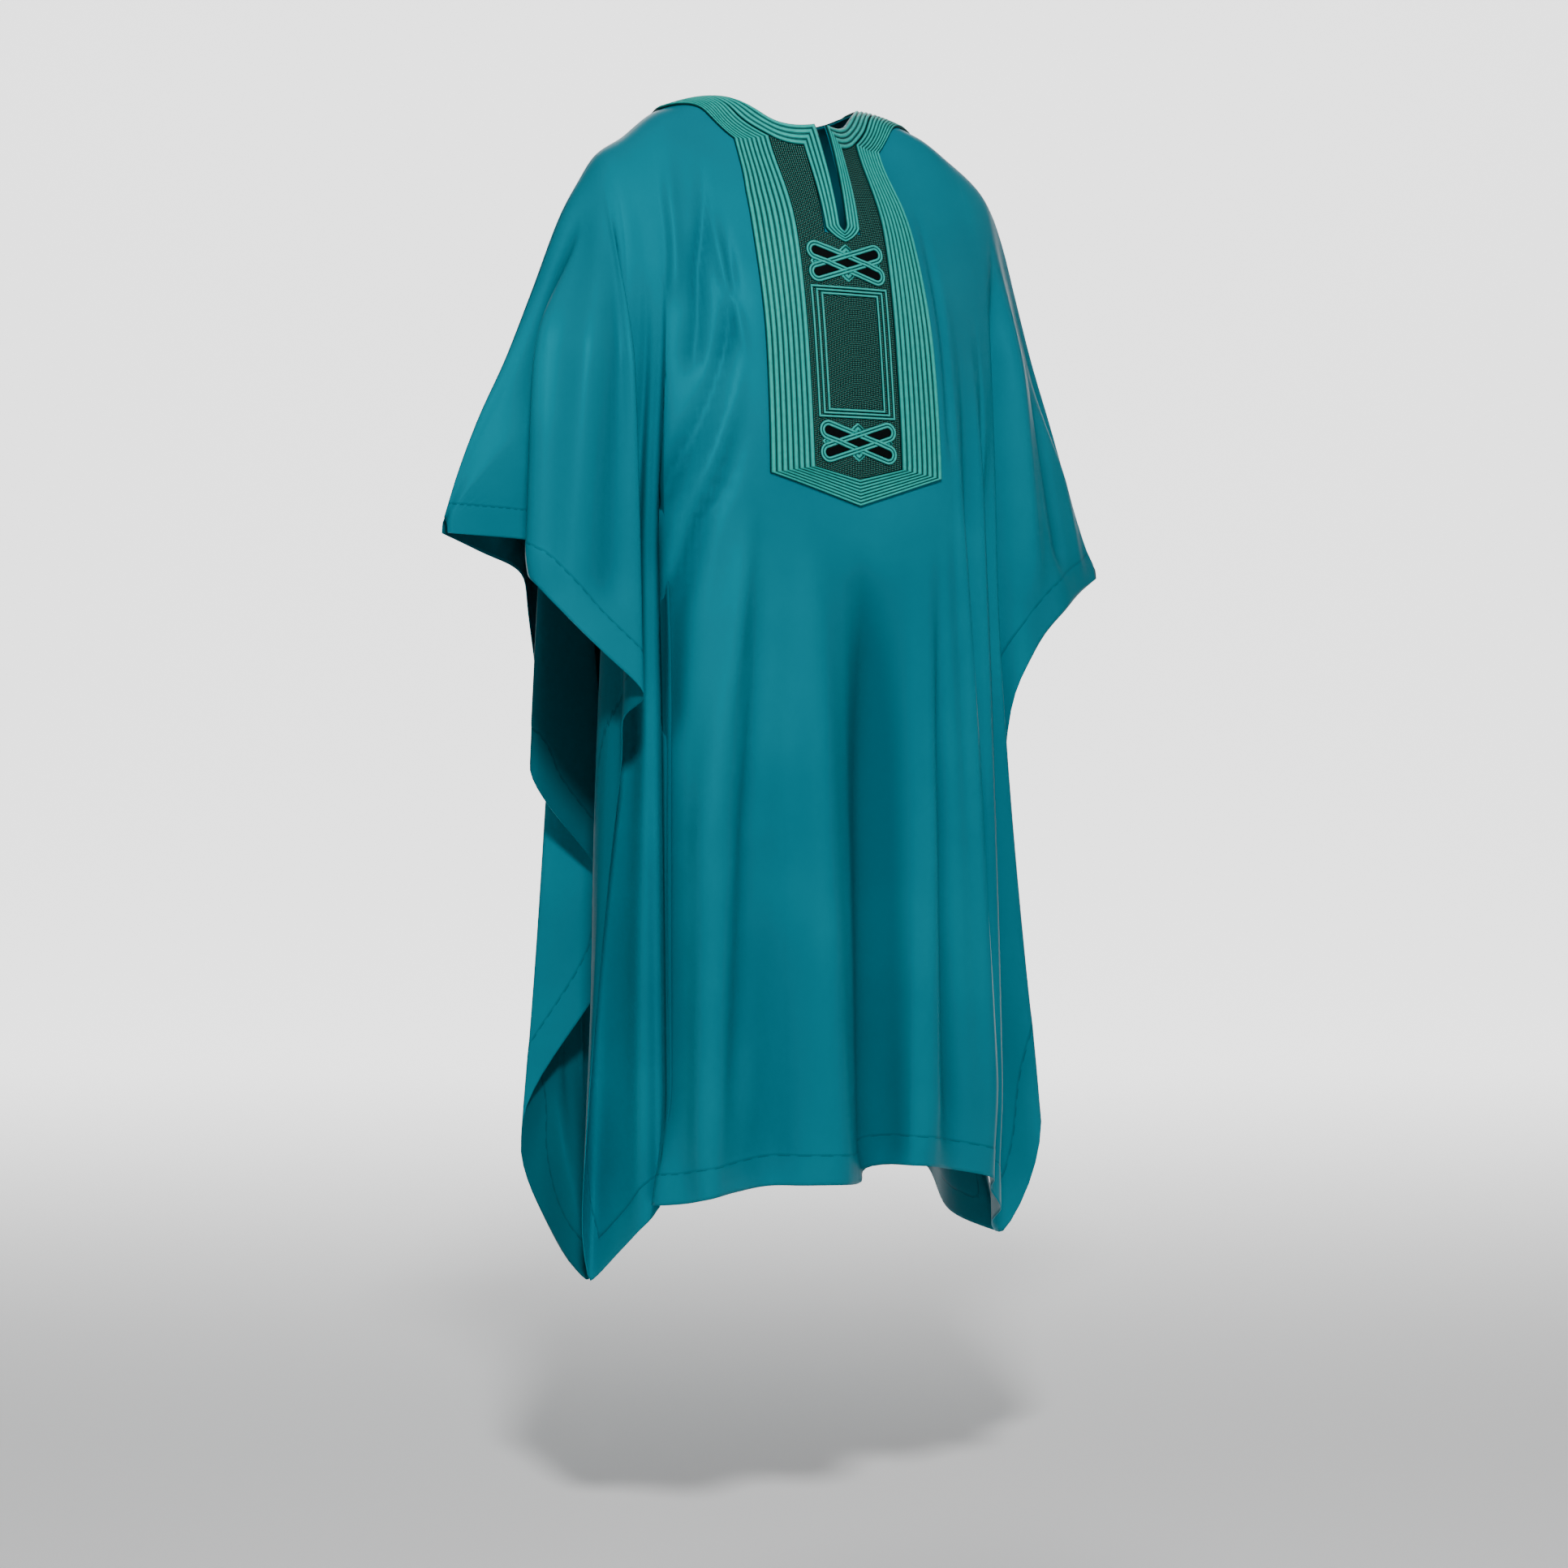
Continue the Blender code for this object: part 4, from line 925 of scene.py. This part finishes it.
def makeNet():
    # its edges are tucked under the cords
    half = placket["inner"] + net["tuck"]
    edge = slit["halfWidth"] + placket["slitBand"] - net["neckTuck"]
    footZ = slit["bottomZ"] - net["footTuck"]
    outer = list(np.linspace(edge, half, net["sideColumns"]))
    middle = list(np.linspace(-edge, edge, net["middleColumns"]))[1:-1]
    xs = [-x for x in outer[::-1]] + middle + outer
    rows = net["upperRows"] + net["lowerRows"] + 1
    points, faces, maps = [], [], []
    for x in xs:
        out = neckCurve(1.0, mitreTurn(max(abs(x), 1e-4), 1.0))[1] - net["neckTuck"]
        topZ = ridgeHeight(x) - front.yokeDrop(x, out)
        share = abs(x) / placket["inner"]
        bottomZ = placket["pointZ"][0] * (1 - share) + placket["cornerZ"][0] * share - net["tuck"]
        run, before = 0.0, None
        for j in range(rows):
            if j <= net["upperRows"]:
                z = topZ + (footZ - topZ) * j / net["upperRows"]
            else:
                z = footZ + (bottomZ - footZ) * (j - net["upperRows"]) / net["lowerRows"]
            point = frontAt(x, z, net["top"])
            if before is not None:
                run += float(np.linalg.norm(point - before))
            before = point
            points.append(point)
            maps.append((x, run - topZ))
    for i in range(len(xs) - 1):
        openAbove = abs(xs[i] + xs[i + 1]) / 2 < edge - 1e-4
        for j in range(rows - 1):
            if openAbove and j < net["upperRows"]:
                continue
            a, b = i * rows + j, (i + 1) * rows + j
            faces.append([a, a + 1, b + 1, b])
    piece = addPiece("PlacketNet", points, faces, darkNet, "net", maps)
    thicken(piece, net["top"] - net["under"])
    return piece


placketNet = makeNet()

window = {"halfWidth": 0.0465, "topZ": -0.206, "bottomZ": -0.345, "sidePitch": 0.0058,
          "endPitch": 0.0036, "cord": 0.0030, "crest": 0.0034, "edge": 0.0019, "under": 0.0010,
          "endSteps": 22, "sideSteps": 36}


def roundCord(under, edge, crest, steps=8, doubled=False):
    top = []
    for i in range(steps + 1):
        t = i / steps
        wave = abs(math.sin(2 * math.pi * t)) if doubled else math.sin(math.pi * t)
        top.append((t, edge + (crest - edge) * wave ** 0.7))
    return top + [(1.0, under), (0.5, under), (0.0, under)]


def makeFrameCord(name, index):
    half = window["halfWidth"] - window["sidePitch"] * index
    topZ = window["topZ"] - window["endPitch"] * index
    bottomZ = window["bottomZ"] + window["endPitch"] * index
    ends, sides = window["endSteps"], window["sideSteps"]
    stations = [(-half + 2 * half * i / ends, topZ) for i in range(ends)]
    stations += [(half, topZ + (bottomZ - topZ) * i / sides) for i in range(sides)]
    stations += [(half - 2 * half * i / ends, bottomZ) for i in range(ends)]
    stations += [(-half, bottomZ + (topZ - bottomZ) * i / sides) for i in range(sides)]

    def locate(station, share, height):
        x, z = station
        inward = window["cord"] * share
        if abs(abs(x) - half) < 1e-9:
            x -= math.copysign(inward, x)
        if abs(z - topZ) < 1e-9 or abs(z - bottomZ) < 1e-9:
            z += math.copysign(inward, (topZ + bottomZ) / 2 - z)
        return frontAt(x, z, height)

    profile = roundCord(window["under"], window["edge"], window["crest"])
    return sweepBand(name, profile, stations, locate, knotCord, 1, closed=True)


frameCords = [makeFrameCord("FrameCord" + place, i) for i, place in
              enumerate(("Outer", "Middle", "Inner"))]

knot = {
    "heights": {"Upper": -0.181, "Lower": -0.3695},
    "halfLength": 0.0375,
    "tilt": math.radians(18),
    "radius": 0.0075,
    "band": 0.0066,
    "crest": 0.0036,
    "edge": 0.0020,
    "under": 0.0010,
    "weave": 0.0009,           # how far a loop goes over or under the other
    "weaveReach": 0.0055,
    "between": (0.809, 0.588), # cosine and sine of the angle between the loops
    "loopSteps": (16, 44),
    "openingSteps": (12, 24),
    "spineSteps": 24,
    "openingLift": 0.0018,
    "openingStep": 0.00008,
    "openingCloth": 0.0004,
    "leafPlaces": ((0, 0.0120, True), (0, -0.0120, True), (-0.0345, 0, False), (0.0345, 0, False)),
}


def stadium(halfLength, radius, bendSteps, sideSteps):
    found = []
    for end in (1, -1):
        for i in range(sideSteps):
            found.append((end * (-halfLength + 2 * halfLength * i / sideSteps), end * radius))
        for i in range(bendSteps):
            turn = math.pi / 2 - math.pi * i / bendSteps
            found.append((end * (halfLength + radius * math.cos(turn)),
                          end * radius * math.sin(turn)))
    return found


def tilted(u, v, tilt, centreZ):
    c, s = math.cos(tilt), math.sin(tilt)
    return u * c - v * s, centreZ + u * s + v * c


def makeLoop(name, centreZ, tilt):
    over = 1 if tilt > 0 else -1
    profile = roundCord(knot["under"], knot["edge"], knot["crest"], 12, doubled=True)

    cosine, sine = knot["between"]

    def locate(station, share, height):
        along, out = station
        beyond = max(abs(along) - knot["halfLength"], 0)
        away = Vector((math.copysign(beyond, along), out)).normalized()
        step = knot["band"] * (0.5 - share)
        x, z = tilted(along + away.x * step, out + away.y * step, tilt, centreZ)
        lift = 0.0
        if beyond == 0:
            for other in (1, -1):
                edge = math.copysign(1, out)
                meet = -over * knot["radius"] * (cosine * edge - other) / sine
                near = math.exp(-((along - meet) / knot["weaveReach"]) ** 2)
                lift += knot["weave"] * (over * edge * other) * near
        return frontAt(x, z, height + max(lift, -0.0005))

    stations = stadium(knot["halfLength"], knot["radius"], *knot["loopSteps"])
    return sweepBand(name, profile, stations, locate, knotCord, 2, closed=True)


def makeOpening(name, centreZ, tilt, height):
    # the dark cloth inside a loop
    inner = knot["radius"] - knot["band"] * 0.30
    ring = stadium(knot["halfLength"], inner, *knot["openingSteps"])
    steps = knot["spineSteps"]
    points, faces, maps = [], [], []
    for share in (1.0, 0.5):
        for along, out in ring:
            x, z = tilted(along, out * share, tilt, centreZ)
            points.append(frontAt(x, z, height))
            maps.append((x, z))
    count = len(ring)
    for i in range(count):
        k = (i + 1) % count
        faces.append([i, k, count + k, count + i])
    spine = len(points)
    for i in range(steps + 1):
        along = -knot["halfLength"] + 2 * knot["halfLength"] * i / steps
        x, z = tilted(along, 0.0, tilt, centreZ)
        points.append(frontAt(x, z, height))
        maps.append((x, z))
    inside = [count + i for i in range(count)]
    nearest = []
    for along, out in ring:
        t = (along + knot["halfLength"]) / (2 * knot["halfLength"]) * steps
        nearest.append(spine + min(max(int(round(t)), 0), steps))
    for i in range(count):
        k = (i + 1) % count
        face = [inside[i], inside[k], nearest[k], nearest[i]]
        if face[2] == face[3]:
            face = face[:3]
        faces.append(face)
    piece = addPiece(name, points, faces, blackSatin, "cords", maps)
    thicken(piece, knot["openingCloth"])
    return piece


leaf = {
    "reach": 0.0080,
    "halfWidth": 0.0090,
    "power": 1.15,
    "corners": 16,
    "rings": (                 # size, height
        (1.0, 0.0008), (1.0, 0.0017), (0.80, 0.0027), (0.55, 0.0018), (0.30, 0.0022), (0.0, 0.0024),
    ),
}


def makeLeaf(name, x, z, upright):
    # a small pointed leaf of thread beside a knot
    points, maps = [], []
    wide, tall = leaf["halfWidth"], leaf["reach"]
    if not upright:
        wide, tall = tall, wide * 0.8
    rings, corners, power = leaf["rings"], leaf["corners"], leaf["power"]
    for size, height in rings:
        for k in range(corners):
            turn = 2 * math.pi * k / corners
            c, s = math.cos(turn), math.sin(turn)
            reach = 1 / (abs(c) ** power + abs(s) ** power) ** (1 / power)
            dx, dz = wide * size * c * reach, tall * size * s * reach
            points.append(frontAt(x + dx, z + dz, height))
            maps.append((size * 1.5, turn * 0.004))
    faces = []
    for i in range(len(rings) - 1):
        a, b = i * corners, (i + 1) * corners
        for k in range(corners):
            after = (k + 1) % corners
            faces.append([a + k, a + after, b + after, b + k])
    return addPiece(name, points, faces, knotCord, "cords", maps)


knotPieces = {}
for place, centreZ in knot["heights"].items():
    tilts = list(enumerate((knot["tilt"], -knot["tilt"])))
    pieces = [makeOpening("Knot%sOpening%d" % (place, i), centreZ, tilt,
                          knot["openingLift"] + knot["openingStep"] * i) for i, tilt in tilts]
    pieces += [makeLoop("Knot%sLoop%d" % (place, i), centreZ, tilt) for i, tilt in tilts]
    for i, (dx, dz, upright) in enumerate(knot["leafPlaces"]):
        pieces.append(makeLeaf("Knot%sLeaf%d" % (place, i), dx, centreZ + dz, upright))
    knotPieces[place] = pieces

print("laying the panels")
frontCloth = addCloth("FrontCloth", front)
backCloth = addCloth("BackCloth", back)

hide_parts("front_panel")
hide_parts("back_panel")
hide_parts("outer_cords")
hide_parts("neck_cords")
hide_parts("back_neck_cords")
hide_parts("placket_net")
for piece, node in zip(frameCords, ("frame_cord_outer", "frame_cord_middle", "frame_cord_inner")):
    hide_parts(node)
for place, pieces in knotPieces.items():
    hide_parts("knot_" + place.lower())

trims = [outerCords, neckCords, placketNet] + frameCords
trims += [piece for pieces in knotPieces.values() for piece in pieces]

studio = {
    "floorZ": -1.53,
    "focal": 70.23,
    "distance": 3.3,
    "azimuth": -30.0,
    "eyeZ": -0.626,
    "shift": (-0.002, -0.060),
    "aimZ": -0.6,
    "front": -9.0,
    "coveStart": 4.0,
    "coveRadius": 3.0,
    "wallTop": 9.0,
    "halfWidth": 14.0,
    "glow": 2.0,               # of the wall behind
    "ambient": 0.13,
    "lights": (                # name, azimuth, elevation, distance, size, power
        ("KeyLight", -28, 38, 4.2, 0.55, 142),
        ("SideLight", 70, 25, 4.0, 1.2, 5),
        ("BackLight", 165, 45, 4.0, 2.0, 14),
    ),
}


def addLight(name, azimuth, elevation, distance, size, power):
    light = bpy.data.lights.new(name, "AREA")
    light.shape, light.size, light.energy = "DISK", size, power
    lamp = addObject(name, light)
    turn, rise = math.radians(azimuth), math.radians(elevation)
    level = math.cos(rise)
    away = Vector((math.sin(turn) * level, -math.cos(turn) * level, math.sin(rise)))
    lamp.location = Vector((0.0, 0.0, studio["aimZ"])) + away * distance
    lamp.rotation_euler = away.to_track_quat("Z", "Y").to_euler()


def makeStudio():
    # one sheet of paper: the floor, a wide cove and a wall far behind
    turn = math.radians(studio["azimuth"])
    behind = Vector((-math.sin(turn), math.cos(turn), 0))
    beside = Vector((math.cos(turn), math.sin(turn), 0))
    start, radius = studio["coveStart"], studio["coveRadius"]
    run = [(studio["front"], 0.0), (0.0, 0.0), (start, 0.0)]
    run += [(start + radius * math.sin(bend), radius - radius * math.cos(bend))
            for bend in np.linspace(0, math.pi / 2, 17)[1:]]
    run.append((start + radius, studio["wallTop"]))
    points = [behind * out + beside * side + Vector((0, 0, studio["floorZ"] + up))
              for side in (-studio["halfWidth"], studio["halfWidth"]) for out, up in run]
    faces = [[i, len(run) + i, len(run) + i + 1, i + 1] for i in range(len(run) - 1)]
    mesh = bpy.data.meshes.new("Backdrop")
    mesh.from_pydata(points, [], faces)
    mesh.shade_smooth()
    backdrop = addObject("Backdrop", mesh)
    paper = Finish("White paper", Roughness=0.95, Specular_IOR_Level=0.1,
                   Base_Color=(0.92, 0.92, 0.92, 1.0), Emission_Strength=studio["glow"])
    out, side = paper.reach(behind), paper.reach(beside)
    glowing = out.ramp(0.2, 4.6) * (1 - side.size().ramp(2.6, 4.2))
    paper.feed("Emission Color", paper.mix(glowing, (0.0, 0.0, 0.0, 1.0), (1.0, 1.0, 1.0, 1.0)))
    mesh.materials.append(paper.material)
    world = bpy.data.worlds.new("Studio")
    world.use_nodes = True
    sky = world.node_tree.nodes["Background"].inputs
    sky["Color"].default_value = (0.97, 0.98, 1.0, 1.0)
    sky["Strength"].default_value = studio["ambient"]
    bpy.context.scene.world = world
    for row in studio["lights"]:
        addLight(*row)
    view = bpy.data.cameras.new("Camera")
    view.sensor_width, view.lens = 36.0, studio["focal"]
    view.shift_x, view.shift_y = studio["shift"]
    camera = addObject("Camera", view)
    camera.location = -behind * studio["distance"] + Vector((0, 0, studio["eyeZ"]))
    camera.rotation_euler = (math.radians(90), 0.0, turn)
    bpy.context.scene.camera = camera


makeStudio()
print("done")
